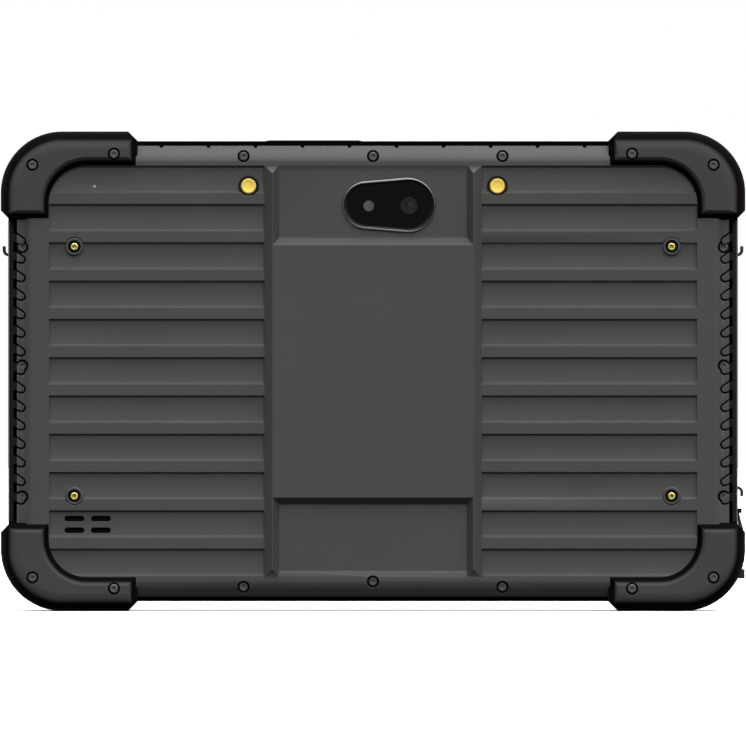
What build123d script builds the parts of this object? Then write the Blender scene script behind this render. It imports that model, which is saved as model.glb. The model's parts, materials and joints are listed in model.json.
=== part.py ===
from build123d import *
import os

# Rugged 8-inch field data collector, standing upright with its screen towards +Y.
#
# Millimetres. +X is to the right when the back is faced, +Y points out of the screen and +Z is up.
# The origin is under the middle of the body, on the plane that the lower bumpers stand on.
# Every shape is drawn about the middle of the tablet, and publish() lifts it to its height.

# ---------------------------------------------------------------- overall sizes
WIDTH = 236.0  # across the corner bumpers
HEIGHT = 152.0
DEPTH = 23.0
BACK = -DEPTH / 2  # rear faces of the bumpers
FRONT = DEPTH / 2
PAST = 1.0  # how far a cutter runs past the face that it opens

# ---------------------------------------------------------------- bumpers
BUMPER_SIDE_PROUD = 2.3  # how far a bumper stands out from the frame's side
BUMPER_END_PROUD = 3.0  # how far it stands out from the frame's top and bottom
BUMPER_BACK_PROUD = 2.6  # how far it stands out from the cover's border
BUMPER_FRONT_PROUD = 2.0
BUMPER_RADIUS = 19.5
BUMPER_REAR_ROUNDING = 6.3
BUMPER_FRONT_ROUNDING = 4.0
BUMPER_END_SLOPE = 3.0
BUMPER_INNER_SLOPE = 2.7
BUMPER_INNER_RADIUS = 12.0
BUMPER_SIDE_LIP = 5.4  # how far the bumper reaches over the front of the frame
BUMPER_END_LIP = 4.7
LIP_SLOPE = 1.5
BUMPER_LONG_ARM = 43.4  # from the outer side to the foot of the arm along the top
BUMPER_SHORT_ARM = 28.0  # from the top to the foot of the arm down the side
BUMPER_FIT = 0.1  # gap to the body that it wraps
SIDE_FOOT = HEIGHT / 2 - BUMPER_SHORT_ARM  # height above the middle where the upper bumpers end

# ---------------------------------------------------------------- front frame and rear cover
FRAME_WIDTH = WIDTH - 2 * BUMPER_SIDE_PROUD
FRAME_HEIGHT = HEIGHT - 2 * BUMPER_END_PROUD
FRAME_RADIUS = 17.2
FRAME_FRONT = FRONT - BUMPER_FRONT_PROUD
FRAME_FRONT_CHAMFER = 1.2
FRAME_SIDE_WALL = 4.2
FRAME_END_WALL = 3.0
SEAM = -1.5  # plane where the cover meets the frame
SEAM_FLANGE = 1.5  # thickness of the frame's land under the cover's rim
COVER_SIDE_STEP = 2.8  # the cover is this much narrower than the frame at each side
COVER_END_STEP = 1.6
COVER_WIDTH = FRAME_WIDTH - 2 * COVER_SIDE_STEP
COVER_HEIGHT = FRAME_HEIGHT - 2 * COVER_END_STEP
COVER_RADIUS = 14.0
BORDER = BACK + BUMPER_BACK_PROUD  # rear face of the cover's flat border
EDGE_SLOPE_WIDTH = 3.5
EDGE_SLOPE_DEPTH = 2.6
COVER_RIM = 5.2  # width of the cover's rim, which takes the screws
COVER_WALL = 2.2
SEAL_THICKNESS = 0.4
SEAL_INSET = 0.4
SEAL_HOLE_CLEARANCE = 0.3
RIM_FRONT = SEAM - SEAL_THICKNESS  # front face of the cover's rim, on the seal
CEILING = BORDER + COVER_WALL  # inner face of the cover's back wall

# ---------------------------------------------------------------- slat banks of the cover
BANK_SIDE_BORDER = 10.3  # from the cover's side to the outer end of the recesses
BANK_END_BORDER = 6.3
BANK_OUTER = COVER_WIDTH / 2 - BANK_SIDE_BORDER
BANK_INNER = 34.4
BANK_TOP = COVER_HEIGHT / 2 - BANK_END_BORDER
BANK_FOOT_GAP = 0.35  # the lowest recess stops this much above the column's foot
SLAT_COUNT = 11
SLAT_RIB = 3.58
SLAT_PITCH = (2 * BANK_TOP - BANK_FOOT_GAP + SLAT_RIB) / SLAT_COUNT
SLAT_HEIGHT = SLAT_PITCH - SLAT_RIB
SLAT_DEPTH = 0.8
SLAT_SLOPE = 0.5

# ---------------------------------------------------------------- central column of the cover
COLUMN_RISE = 2.2
COLUMN_SIDE_SLOPE = 2.5
COLUMN_END_SLOPE = 2.3
RIDGE_WIDTH = 0.2
PANEL_HALF_HEIGHT = COVER_HEIGHT / 2 - 31.4
POCKET_HALF_WIDTH = BANK_INNER - COLUMN_SIDE_SLOPE - RIDGE_WIDTH
POCKET_SIDE_SLOPE = 2.0
POCKET_END_SLOPE = 2.2
POCKET_SINK = 0.5  # pocket floors below the border
POCKET_LIP_SLOPE = 1.9
PANEL_RELIEF = 2.2  # hollow behind the panel, so that its wall stays even
PANEL_RELIEF_HALF_WIDTH = POCKET_HALF_WIDTH - 4.2
PANEL_RELIEF_HALF_HEIGHT = PANEL_HALF_HEIGHT - 4.0
PANEL_RELIEF_RADIUS = 3.0

# ---------------------------------------------------------------- screws
SCREW_RADIUS = 0.95  # M2
SCREW_CLEARANCE = 0.1
HEAD_RADIUS = 1.75
HEAD_HEIGHT = 1.3
HEAD_RECESS_RADIUS = 1.95
DRIVE_RADIUS = 0.75
DRIVE_DEPTH = 0.6
EDGE_HEAD_SINK = 1.5  # top of a head below the cover's border
SIDE_HEAD_SINK = 2.7
BUMPER_HEAD_SINK = 0.5  # top of a head below the bumper's rear face
EDGE_SCREW_LENGTH = 8.0
MIDDLE_SCREW_LENGTH = 6.0
SIDE_SCREW_LENGTH = 7.0
BUMPER_SCREW_LENGTH = 12.0
BOSS_RADIUS = 3.0
EDGE_SCREW_OFFSET = 41.0  # screws at both sides of the middle one
TOP_SCREW_Z = COVER_HEIGHT / 2 - 3.3
BOTTOM_SCREW_Z = 3.1 - COVER_HEIGHT / 2
BOTTOM_MIDDLE_SCREW_Z = 4.8 - COVER_HEIGHT / 2
SIDE_SCREW_X = COVER_WIDTH / 2 - 1.8
SIDE_SCREW_Z = (SIDE_FOOT - 8.7, 1.8, 8.3 - SIDE_FOOT)
CORNER_SCREW = (WIDTH / 2 - 10.2, HEIGHT / 2 - 10.7)
ARM_SCREW = (WIDTH / 2 - 36.0, HEIGHT / 2 - 7.2)

# ---------------------------------------------------------------- fittings on the back
INSERT_X = BANK_OUTER - 8.0
INSERT_Z = BANK_TOP - 25.6
INSERT_RADIUS = 1.6
INSERT_BORE = 0.8  # tapped M2
INSERT_LENGTH = 4.0
INSERT_SINK = 0.5
INSERT_FIT = 0.03
INSERT_WELL_RADIUS = 2.05
INSERT_BOSS_RADIUS = 2.8
INSERT_BOSS_FLOOR = 1.0
CONTACT_X = BANK_INNER + 5.0
CONTACT_Z = BANK_TOP - 6.4
CONTACT_RADIUS = 2.45
CONTACT_DISH = 0.2
CONTACT_FIT = 0.03
CONTACT_LENGTH = 6.0
RING_RADIUS = 3.15
RING_FLAT = 2.95  # from the middle to the flat that meets the rib
RING_SINK = 0.1
CAMERA_Z = BANK_TOP - 12.5
CAMERA_LEFT = (-2.0, CAMERA_Z)
CAMERA_RIGHT = (11.0, CAMERA_Z)
CAMERA_BEZEL_RADII = (7.6, 8.7)
CAMERA_GLASS_RADII = (6.3, 7.4)
CAMERA_FIT = 0.1
CAMERA_PROUD = 0.8  # bezel above the pocket floor
CAMERA_GLASS_SINK = 0.4
CAMERA_GLASS_THICKNESS = 0.9
CAMERA_LEDGE = 0.9  # width that the glass rests on
CAMERA_BODY = 11.0
MODULE_BACK = -6.3  # rear face of the camera body
BRACKET_HALF_HEIGHT = 3.0
BRACKET_THICKNESS = 1.0
LENS_LENGTH = 1.5
FLASH_PLACE = (-1.3, CAMERA_Z - 0.2)
FLASH_RADIUS = 1.6
FLASH_BASE_HALF = 2.0
FLASH_BASE_THICKNESS = 0.6
LENS_PLACE = (11.4, CAMERA_Z - 0.1)
LENS_RADIUS = 2.7
LENS_OPENING = 1.3
LENS_OPENING_DEPTH = 0.9
SLOT_X = (8.0 - BANK_OUTER, 16.4 - BANK_OUTER)
SLOT_Z = (18.4 - BANK_TOP, 14.7 - BANK_TOP)
SLOT_LENGTH = 6.3
SLOT_HEIGHT = 1.75
SPEAKER_X = (SLOT_X[0] - 6.4, SLOT_X[1] + 6.2)
SPEAKER_Z = (SLOT_Z[1] - 5.6, SLOT_Z[0] + 3.9)
SPEAKER_DEPTH = 4.2
MESH_THICKNESS = 0.3
MIC_PLACE = (14.4 - BANK_OUTER, BANK_TOP - 6.3)
MIC_RADIUS = 0.6
MIC_CAPSULE = (3.6, 1.2, 2.8)
NOTCH_PITCH = 14.9
NOTCH_COUNT = 10
NOTCH_RADIUS = 0.65

# ---------------------------------------------------------------- finger grips on both sides
RAIL_THICKNESS = 1.7
RAIL_DEPTH = 3.1
RAIL_END_GAP = 0.3
GRIP_COUNT = 15
GRIP_HALF_SPAN = SIDE_FOOT - 6.91
GRIP_PITCH = 2 * GRIP_HALF_SPAN / (GRIP_COUNT - 1)
GRIP_TOP = GRIP_HALF_SPAN + 0.18
GRIP_TIP_RADIUS = 1.05
GRIP_REACH = 1.5  # from the cover's edge in to the tip's centre
GRIP_ROOT_LOW = -0.3
GRIP_ROOT_HIGH = 2.4
GRIP_ROOT_OUT = 0.4  # root circles stand this far outside the cover's edge
GRIP_ROOT_RADIUS = 0.2
GRIP_BRIDGE_LAP = 0.2  # bridge runs this far into the finger and into the rail
GRIP_GAP = 0.3
GRIP_BRIDGE_DEPTH = 1.2

# ---------------------------------------------------------------- screen
GLASS_WIDTH = FRAME_WIDTH - 13.4
GLASS_HEIGHT = FRAME_HEIGHT - 12.0
GLASS_RADIUS = 9.0
GLASS_THICKNESS = 1.1
GLASS_SINK = 0.3
GLASS_FIT = 0.3
ADHESIVE_THICKNESS = 0.2
ADHESIVE_INSET = 0.5
LEDGE_THICKNESS = 1.2
LCD_WIDTH = GLASS_WIDTH - 34.0
LCD_HEIGHT = GLASS_HEIGHT - 19.0
LCD_THICKNESS = 2.6
LCD_FIT = 1.5
FRONT_CAMERA_PLACE = (0.0, LCD_HEIGHT / 2 + 5.7)
FRONT_CAMERA_RADIUS = 2.6
FRONT_FIT = 0.2
BEHIND_ADHESIVE = 0.1  # camera and light pipes stop this far behind the adhesive
LIGHT_RADIUS = 0.8
LIGHT_COUNT = 3
LIGHT_PITCH = 6.0
LIGHT_FIRST_X = 24.0
GLASS_BACK = FRAME_FRONT - GLASS_SINK - GLASS_THICKNESS
LEDGE_FRONT = GLASS_BACK - ADHESIVE_THICKNESS
LEDGE_BACK = LEDGE_FRONT - LEDGE_THICKNESS
LCD_BACK = GLASS_BACK - LCD_THICKNESS

# ---------------------------------------------------------------- inner plate, boards, battery
FRAME_ROOM_WIDTH = FRAME_WIDTH - 2 * FRAME_SIDE_WALL
FRAME_ROOM_HEIGHT = FRAME_HEIGHT - 2 * FRAME_END_WALL
FRAME_ROOM_RADIUS = FRAME_RADIUS - FRAME_SIDE_WALL
PLATE_THICKNESS = 1.2
NOTCH_GAP = 0.5  # round a port or the dock connector that the plate is notched for
PLATE_FIT = 0.4
PLATE_RADIUS = FRAME_ROOM_RADIUS - PLATE_FIT
PLATE_BACK = LCD_BACK - PLATE_THICKNESS
BOARD_THICKNESS = 1.0
BOARD_STANDOFF = 2.4
BOARD_FRONT = PLATE_BACK - BOARD_STANDOFF
BOARD_BACK = BOARD_FRONT - BOARD_THICKNESS
BOARD_RIGHT = FRAME_ROOM_WIDTH / 2 - 4.1
BOARD_X = (11.5 - FRAME_ROOM_WIDTH / 2, BOARD_RIGHT - 3.4)
BOARD_TOP = FRAME_ROOM_HEIGHT / 2 - 8.0
BOARD_LOW = BOARD_TOP - 28.0  # lower edge of the strip along the top
BOARD_COLUMN_X = BOARD_RIGHT - 35.4
BOARD_BOTTOM = 10.0 - FRAME_ROOM_HEIGHT / 2
HINGE_FROM_FOOT = 37.0  # from the foot of a bumper to the hinge of the door beside it
HINGE_Z = SIDE_FOOT - HINGE_FROM_FOOT  # hinge of a door above or below the middle
CARD_Z = HINGE_Z + 13.0
IO_BOARD_INNER = BOARD_RIGHT - 29.4
IO_BOARD_Z = (CARD_Z - 18.0, CARD_Z + 9.0)
HOST_Z = -HINGE_Z - 12.0
STANDOFF_RADIUS = 1.8
STANDOFFS = (
    (BOARD_X[0] + 5.0, BOARD_LOW + 6.0),
    (-40.0, BOARD_TOP - 4.0),
    (30.0, BOARD_LOW + 6.0),
    (BOARD_X[1] - 5.0, BOARD_TOP - 5.0),
    (BOARD_COLUMN_X + 4.0, 5.0),
    (BOARD_COLUMN_X + 4.0, BOARD_BOTTOM + 5.0),
    (BOARD_RIGHT - 4.4, HOST_Z - 15.0),
    (-IO_BOARD_INNER - 4.0, IO_BOARD_Z[0] + 4.0),
    (-IO_BOARD_INNER - 8.0, IO_BOARD_Z[1] - 4.0),
)
SHIELD_HEIGHT = 2.2
SHIELD_RADIUS = 1.0
SHIELDS = (
    {"x": 40.0, "z": BOARD_LOW + 10.0, "width": 26.0, "height": 16.0},
    {"x": BOARD_COLUMN_X + 12.0, "z": 12.0, "width": 18.0, "height": 30.0},
    {"x": -20.0, "z": BOARD_LOW + 9.0, "width": 30.0, "height": 14.0},
)
BATTERY_X = (6.0 - IO_BOARD_INNER, BOARD_COLUMN_X - 4.0)
BATTERY_Z = (BOARD_BOTTOM + 2.0, BOARD_LOW - 5.0)
BATTERY_RADIUS = 3.0
BATTERY_THICKNESS = 7.4
MOTOR_PLACE = (-IO_BOARD_INNER - 14.0, IO_BOARD_Z[0] - 20.0)
MOTOR_RADIUS = 5.0
MOTOR_HEIGHT = 3.0
ANTENNA_PLACE = (-66.0, BOARD_LOW + 15.0)
ANTENNA_SIZE = 18.0
ANTENNA_HEIGHT = 4.0

# ---------------------------------------------------------------- side covers and ports
PORT_Y = BOARD_FRONT + 1.8  # port line, in the frame's depth
PORT_FIT = 0.3
PORT_MOUTH = FRAME_WIDTH / 2 - 3.5
PORT_WALL = 0.5
PORT_HOLLOW = 5.0
PORT_LEAST_CORNER = 0.15
PORT_TUNNEL = 5.0  # a port's opening runs this far inwards of the side wall
TONGUE_SHORT = 0.8  # the tongue ends this far inside the mouth
DOOR_WIDTH = 8.0
DOOR_THICKNESS = 1.5
DOOR_FIT = 0.3
DOOR_POCKET = 1.8
DOOR_LENGTH = 27.5
HINGE_RADIUS = 0.75
HINGE_FIT = 0.35
HINGE_X = FRAME_WIDTH / 2 - HINGE_RADIUS
TRUNNION_RADIUS = 0.45
TRUNNION_FIT = 0.08
TRUNNION_LENGTH = 0.8
TRUNNION_END_GAP = 0.2
PLUG_DEPTH = 1.4
PLUG_FIT = 0.2
TAB_WIDTH = 5.0
TAB_THICKNESS = 0.9
TAB_BEND = 1.0
TAB_TIP = 1.3
TAB_SINK = 0.5
TAB_FROM_END = 2.0
USB_A_SIZE = (13.1, 5.7)
TALL_PORT_DEPTH = 14.2  # USB-A port and power jack, which sit in notches of the board
DOORS = (
    {"name": "card_cover", "side": -1, "way": 1, "hinge_z": HINGE_Z},
    {"name": "usb_cover", "side": 1, "way": 1, "hinge_z": HINGE_Z},
    {"name": "host_cover", "side": 1, "way": -1, "hinge_z": -HINGE_Z},
)
PORTS = (
    {"name": "card_slot", "door": "card_cover", "side": -1, "z": CARD_Z, "y": PORT_Y, "size": (14.6, 2.6),
     "corner": 0.4, "depth": 16.2},
    {"name": "usb_c_port", "door": "usb_cover", "side": 1, "z": HINGE_Z + 19.5, "y": PORT_Y,
     "size": (9.0, 3.4), "corner": 1.6, "depth": 7.2, "tongue": 0.7},
    {"name": "hdmi_port", "door": "usb_cover", "side": 1, "z": HINGE_Z + 8.0, "y": PORT_Y,
     "size": (11.2, 3.2), "corner": 0.5, "depth": 8.2, "tongue": 0.7},
    {"name": "usb_a_port", "door": "host_cover", "side": 1, "z": HOST_Z, "y": PORT_Y - 0.6,
     "size": USB_A_SIZE, "corner": 0.4, "depth": TALL_PORT_DEPTH, "tongue": 1.8},
)

# ---------------------------------------------------------------- power jack and corner cover
DC_JACK_Y = PORT_Y - 0.3
DC_JACK_Z = -SIDE_FOOT - 4.0
DC_BODY = 6.4
DC_SET_BACK = 0.3  # mouth of the jack inside the room of the frame
DC_PIN_SHORT = 1.0
DC_HOLE_RADIUS = 2.75
DC_HOLE_DEPTH = 9.0
DC_PIN_RADIUS = 0.8
DC_BORE_RADIUS = 3.1
DC_COVER_WIDTH = 7.0
DC_HINGE_Z = 3.7 - SIDE_FOOT
DC_BEAD_RADIUS = 0.45
DC_PIVOT_RADIUS = 0.25
DC_PIVOT_FIT = 0.07
DC_HINGE_X = FRAME_WIDTH / 2 + 0.6
DC_EAR_GAP = 0.3
DC_EAR_THICKNESS = 1.0
DC_EAR_HALF = 0.7  # half height of an ear, and its reach beyond the hinge line
DC_EAR_ROOT = 0.5
DC_PIVOT_END_GAP = 0.2
DC_FACE_GAP = 0.3
DC_FACE_SINK = 0.4  # cover's face under the bumper's
DC_WEDGE = 6.0
DC_COVER_END = -SIDE_FOOT - 17.8
DC_LIP = 2.9
DC_FIT = 0.35
DC_PLUG_RADIUS = 2.2
DC_PLUG_DEPTH = 1.8

# ---------------------------------------------------------------- keys on the top edge
STRIP_LEFT = -34.4
STRIP_RIGHT = -3.1
STRIP_PROUD = 0.3
STRIP_WIDTH = 6.0
STRIP_THICKNESS = 1.4
STRIP_TAPER = 1.5
KEY_Y = PORT_Y
KEY_WIDTH = 3.4
KEY_FIT = 0.2
KEY_TRAVEL = 0.4
KEY_LIP = 0.6
KEY_LIP_END = 0.35
KEY_LIP_HEIGHT = 0.8
KEY_FOOT = FRAME_HEIGHT / 2 - FRAME_END_WALL - KEY_LIP_HEIGHT
KEY_SPANS = {
    "power_key": (-32.2, -24.6),
    "volume_up_key": (-21.4, -13.8),
    "volume_down_key": (-12.8, -5.2),
}
SWITCH_SIZE = 3.0
SWITCH_HEIGHT = 0.7
SWITCH_GAP = 0.05
KEY_BOARD_THICKNESS = 0.8
KEY_BOARD_WIDTH = 4.2
KEY_BOARD_INSET = 0.6
KEY_BOARD_BOTTOM = KEY_FOOT - KEY_TRAVEL - SWITCH_GAP - SWITCH_HEIGHT - KEY_BOARD_THICKNESS

# ---------------------------------------------------------------- dock connector
DOCK_WIDTH = 34.0
DOCK_DEPTH = 6.0
DOCK_HEIGHT = 3.4
DOCK_SINK = 0.8
DOCK_FACE = DOCK_SINK - FRAME_HEIGHT / 2
DOCK_TOP = DOCK_FACE + DOCK_HEIGHT
DOCK_PINS = 12
DOCK_PIN_PITCH = 2.4
DOCK_PIN_RADIUS = 0.6
DOCK_PIN_FIT = 0.03
DOCK_PIN_PROUD = 0.3
DOCK_PIN_FLOOR = 0.5
DOCK_FIT = 0.15
MIDDLE_BOSS_END = 0.4  # the bottom middle boss stops short of the dock connector

SIDES = (("left", -1), ("right", 1))
TIERS = (("top", 1), ("bottom", -1))


# ================================================================ helpers
def publish(name, shape):
    """Lift a shape from the middle frame to the standing frame and write it."""
    solids = [Pos(0, 0, HEIGHT / 2) * solid for solid in shape.solids()]
    whole = solids[0] if len(solids) == 1 else Compound(solids)
    export_step(whole, f"parts/{name}.step")


def slab(outline, y_one, y_two):
    """Prism of an X-Z outline between two depths."""
    low = min(y_one, y_two)
    high = max(y_one, y_two)
    return extrude(Plane.XZ.offset(-high) * outline, amount=high - low, dir=(0, -1, 0))


def block(x, y, z):
    """Box from three (low, high) pairs, in either order."""
    spans = [(min(pair), max(pair)) for pair in (x, y, z)]
    middle = [(low + high) / 2 for low, high in spans]
    size = [high - low for low, high in spans]
    return Pos(*middle) * Box(*size)


def pin(x, z, radius, y_one, y_two):
    """Cylinder along Y."""
    return slab(Pos(x, z) * Circle(radius), y_one, y_two)


def frustum(outline_one, y_one, outline_two, y_two):
    """Straight-sided solid between two X-Z outlines at two depths."""
    faces = [
        (Plane.XZ.offset(-y_one) * outline_one).face(),
        (Plane.XZ.offset(-y_two) * outline_two).face(),
    ]
    return loft(faces, ruled=True)


def rectangle(x, z):
    """X-Z rectangle from two (low, high) pairs."""
    width = abs(x[1] - x[0])
    height = abs(z[1] - z[0])
    return Pos((x[0] + x[1]) / 2, (z[0] + z[1]) / 2) * Rectangle(width, height)


def many(shapes):
    """Group of separate solids for one node."""
    return Compound([solid for shape in shapes for solid in shape.solids()])


# ================================================================ places
def cover_screw_places():
    """Twelve screws round the cover's rim, between the bumpers."""
    places = [(0, TOP_SCREW_Z), (0, BOTTOM_MIDDLE_SCREW_Z)]
    for _, side in SIDES:
        places.append((side * EDGE_SCREW_OFFSET, TOP_SCREW_Z))
        places.append((side * EDGE_SCREW_OFFSET, BOTTOM_SCREW_Z))
        for z in SIDE_SCREW_Z:
            places.append((side * SIDE_SCREW_X, z))
    return places


def bumper_screw_places():
    """Two screws in each of the four bumpers."""
    places = []
    for _, side in SIDES:
        for _, tier in TIERS:
            for x, z in (CORNER_SCREW, ARM_SCREW):
                places.append((side * x, tier * z))
    return places


def insert_places():
    """Four threaded mount inserts."""
    return [(side * INSERT_X, tier * INSERT_Z) for _, side in SIDES for _, tier in TIERS]


def recess_faces(index):
    """Top and bottom of one slat recess."""
    top = BANK_TOP - index * SLAT_PITCH
    return top, top - SLAT_HEIGHT


# ================================================================ body shells
def cover_envelope(grow=0.0):
    """Outer shape of the rear cover, without its relief: straight rim, then a sloped edge."""
    width = COVER_WIDTH + 2 * grow
    height = COVER_HEIGHT + 2 * grow
    radius = COVER_RADIUS + grow
    rim = RectangleRounded(width, height, radius)
    inset = EDGE_SLOPE_WIDTH
    border = RectangleRounded(width - 2 * inset, height - 2 * inset, radius - inset)
    shoulder = BORDER + EDGE_SLOPE_DEPTH - grow
    return slab(rim, SEAM, shoulder) + frustum(rim, shoulder, border, BORDER - grow)


def slat_recess(index, side):
    """One recess of a bank: flat floor between a top and a bottom slope."""
    top, bottom = recess_faces(index)
    x = (side * BANK_INNER, side * BANK_OUTER)
    mouth = rectangle(x, (bottom, top))
    floor = rectangle(x, (bottom + SLAT_SLOPE, top - SLAT_SLOPE))
    return frustum(mouth, BORDER, floor, BORDER + SLAT_DEPTH)


def column_block():
    """Raised central column with sloped sides and ends."""
    foot = rectangle((-BANK_INNER, BANK_INNER), (-BANK_TOP, BANK_TOP))
    half_width = BANK_INNER - COLUMN_SIDE_SLOPE
    half_height = BANK_TOP - COLUMN_END_SLOPE
    crown = rectangle((-half_width, half_width), (-half_height, half_height))
    return frustum(foot, BORDER, crown, BORDER - COLUMN_RISE)


def column_pocket(tier):
    """Pocket between the column's ridges, above or below its raised panel."""
    crown = BORDER - COLUMN_RISE
    floor = BORDER + POCKET_SINK
    share = COLUMN_RISE / (COLUMN_RISE + POCKET_SINK)
    border_half = POCKET_HALF_WIDTH - POCKET_SIDE_SLOPE * share
    floor_half = POCKET_HALF_WIDTH - POCKET_SIDE_SLOPE
    near_border = PANEL_HALF_HEIGHT + POCKET_END_SLOPE * share
    near_floor = PANEL_HALF_HEIGHT + POCKET_END_SLOPE
    far = BANK_TOP + PAST
    mouth = rectangle((-POCKET_HALF_WIDTH, POCKET_HALF_WIDTH), (tier * PANEL_HALF_HEIGHT, tier * far))
    waist = rectangle((-border_half, border_half), (tier * near_border, tier * far))
    lip = rectangle((-border_half, border_half), (tier * near_border, tier * BANK_TOP))
    lip_foot = tier * (BANK_TOP - POCKET_LIP_SLOPE)
    base = rectangle((-floor_half, floor_half), (tier * near_floor, lip_foot))
    return frustum(mouth, crown, waist, BORDER) + frustum(lip, BORDER, base, floor)


def grip_outline(index, grow=0.0):
    """Slanting finger shape, drawn for the right side: a round tip and a wider root at the edge."""
    edge = COVER_WIDTH / 2
    z = GRIP_TOP - index * GRIP_PITCH
    tip = Pos(edge - GRIP_REACH, z) * Circle(GRIP_TIP_RADIUS + grow)
    root = Circle(GRIP_ROOT_RADIUS + grow)
    low = Pos(edge + GRIP_ROOT_OUT, z + GRIP_ROOT_LOW) * root
    high = Pos(edge + GRIP_ROOT_OUT, z + GRIP_ROOT_HIGH) * root
    return make_hull(tip.edges() + low.edges() + high.edges())


def grip_fingers(side, grow=0.0):
    """All fingers of one side."""
    floor = SEAM - RAIL_DEPTH + GRIP_BRIDGE_DEPTH
    fingers = [slab(grip_outline(i, grow), floor, BORDER) for i in range(GRIP_COUNT)]
    return fingers if side > 0 else [mirror(finger, about=Plane.YZ) for finger in fingers]


def cover_well_cutters():
    """Screw holes with their head wells, and the openings through the cover's back wall."""
    cutters = []
    for x, z in cover_screw_places():
        cutters.append(pin(x, z, SCREW_RADIUS + SCREW_CLEARANCE, SEAM, BACK))
        cutters.append(pin(x, z, HEAD_RECESS_RADIUS, cover_head_seat(x, z), BACK))
    for x, z in bumper_screw_places():
        cutters.append(pin(x, z, SCREW_RADIUS + SCREW_CLEARANCE, SEAM, BACK))
    for _, side in SIDES:
        cutters.append(slab(contact_ring_outline(side, CONTACT_FIT), SEAM, BACK))
    cutters.append(slab(camera_outline(CAMERA_BEZEL_RADII, CAMERA_FIT), SEAM, BACK))
    for x in SLOT_X:
        for z in SLOT_Z:
            cutters.append(slab(Pos(x, z) * SlotOverall(SLOT_LENGTH, SLOT_HEIGHT), SEAM, BACK))
    cutters.append(pin(*MIC_PLACE, MIC_RADIUS, SEAM, BACK))
    for index in range(NOTCH_COUNT):
        x = (index - (NOTCH_COUNT - 1) / 2) * NOTCH_PITCH
        cutters.append(pin(x, COVER_HEIGHT / 2, NOTCH_RADIUS, SEAM, BACK))
    cutters.append(slab(Rectangle(WIDTH, HEIGHT), SEAM, RIM_FRONT))
    return cutters


def cover_room():
    """Hollow of the cover: the main room and the relief behind the raised panel."""
    inner = RectangleRounded(
        COVER_WIDTH - 2 * COVER_RIM, COVER_HEIGHT - 2 * COVER_RIM, COVER_RADIUS - COVER_RIM
    )
    relief = RectangleRounded(
        2 * PANEL_RELIEF_HALF_WIDTH, 2 * PANEL_RELIEF_HALF_HEIGHT, PANEL_RELIEF_RADIUS
    )
    return slab(inner, SEAM, CEILING) + slab(relief, CEILING, CEILING - PANEL_RELIEF)


def rear_cover():
    """Moulded back shell: slat banks, central column, screw wells and openings."""
    body = cover_envelope() + column_block()
    slats = [slat_recess(index, side) for _, side in SIDES for index in range(SLAT_COUNT)]
    pockets = [column_pocket(tier) for _, tier in TIERS]
    fingers = [finger for _, side in SIDES for finger in grip_fingers(side, GRIP_GAP)]
    body -= [cover_room()] + slats + pockets + fingers
    insert_end = BORDER + INSERT_SINK + INSERT_LENGTH
    bosses = [pin(0, BOTTOM_MIDDLE_SCREW_Z, BOSS_RADIUS, RIM_FRONT, CEILING)]
    wells = cover_well_cutters()
    for x, z in insert_places():
        bosses.append(pin(x, z, INSERT_BOSS_RADIUS, insert_end + INSERT_BOSS_FLOOR, BORDER))
        wells.append(pin(x, z, INSERT_WELL_RADIUS, BORDER + INSERT_SINK, BACK))
        wells.append(pin(x, z, INSERT_RADIUS + INSERT_FIT, insert_end, BACK))
    body += bosses
    return body - wells


def body_seal():
    """Flat silicone gasket between the cover's rim and the frame, pierced by the screws."""
    outer = RectangleRounded(
        COVER_WIDTH - 2 * SEAL_INSET, COVER_HEIGHT - 2 * SEAL_INSET, COVER_RADIUS - SEAL_INSET
    )
    inner = RectangleRounded(
        COVER_WIDTH - 2 * COVER_RIM, COVER_HEIGHT - 2 * COVER_RIM, COVER_RADIUS - COVER_RIM
    )
    ring = outer - inner + Pos(0, BOTTOM_MIDDLE_SCREW_Z) * Circle(BOSS_RADIUS)
    ring &= outer
    for x, z in cover_screw_places() + bumper_screw_places():
        ring -= Pos(x, z) * Circle(SCREW_RADIUS + SEAL_HOLE_CLEARANCE)
    return slab(ring, SEAM, RIM_FRONT)


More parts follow.
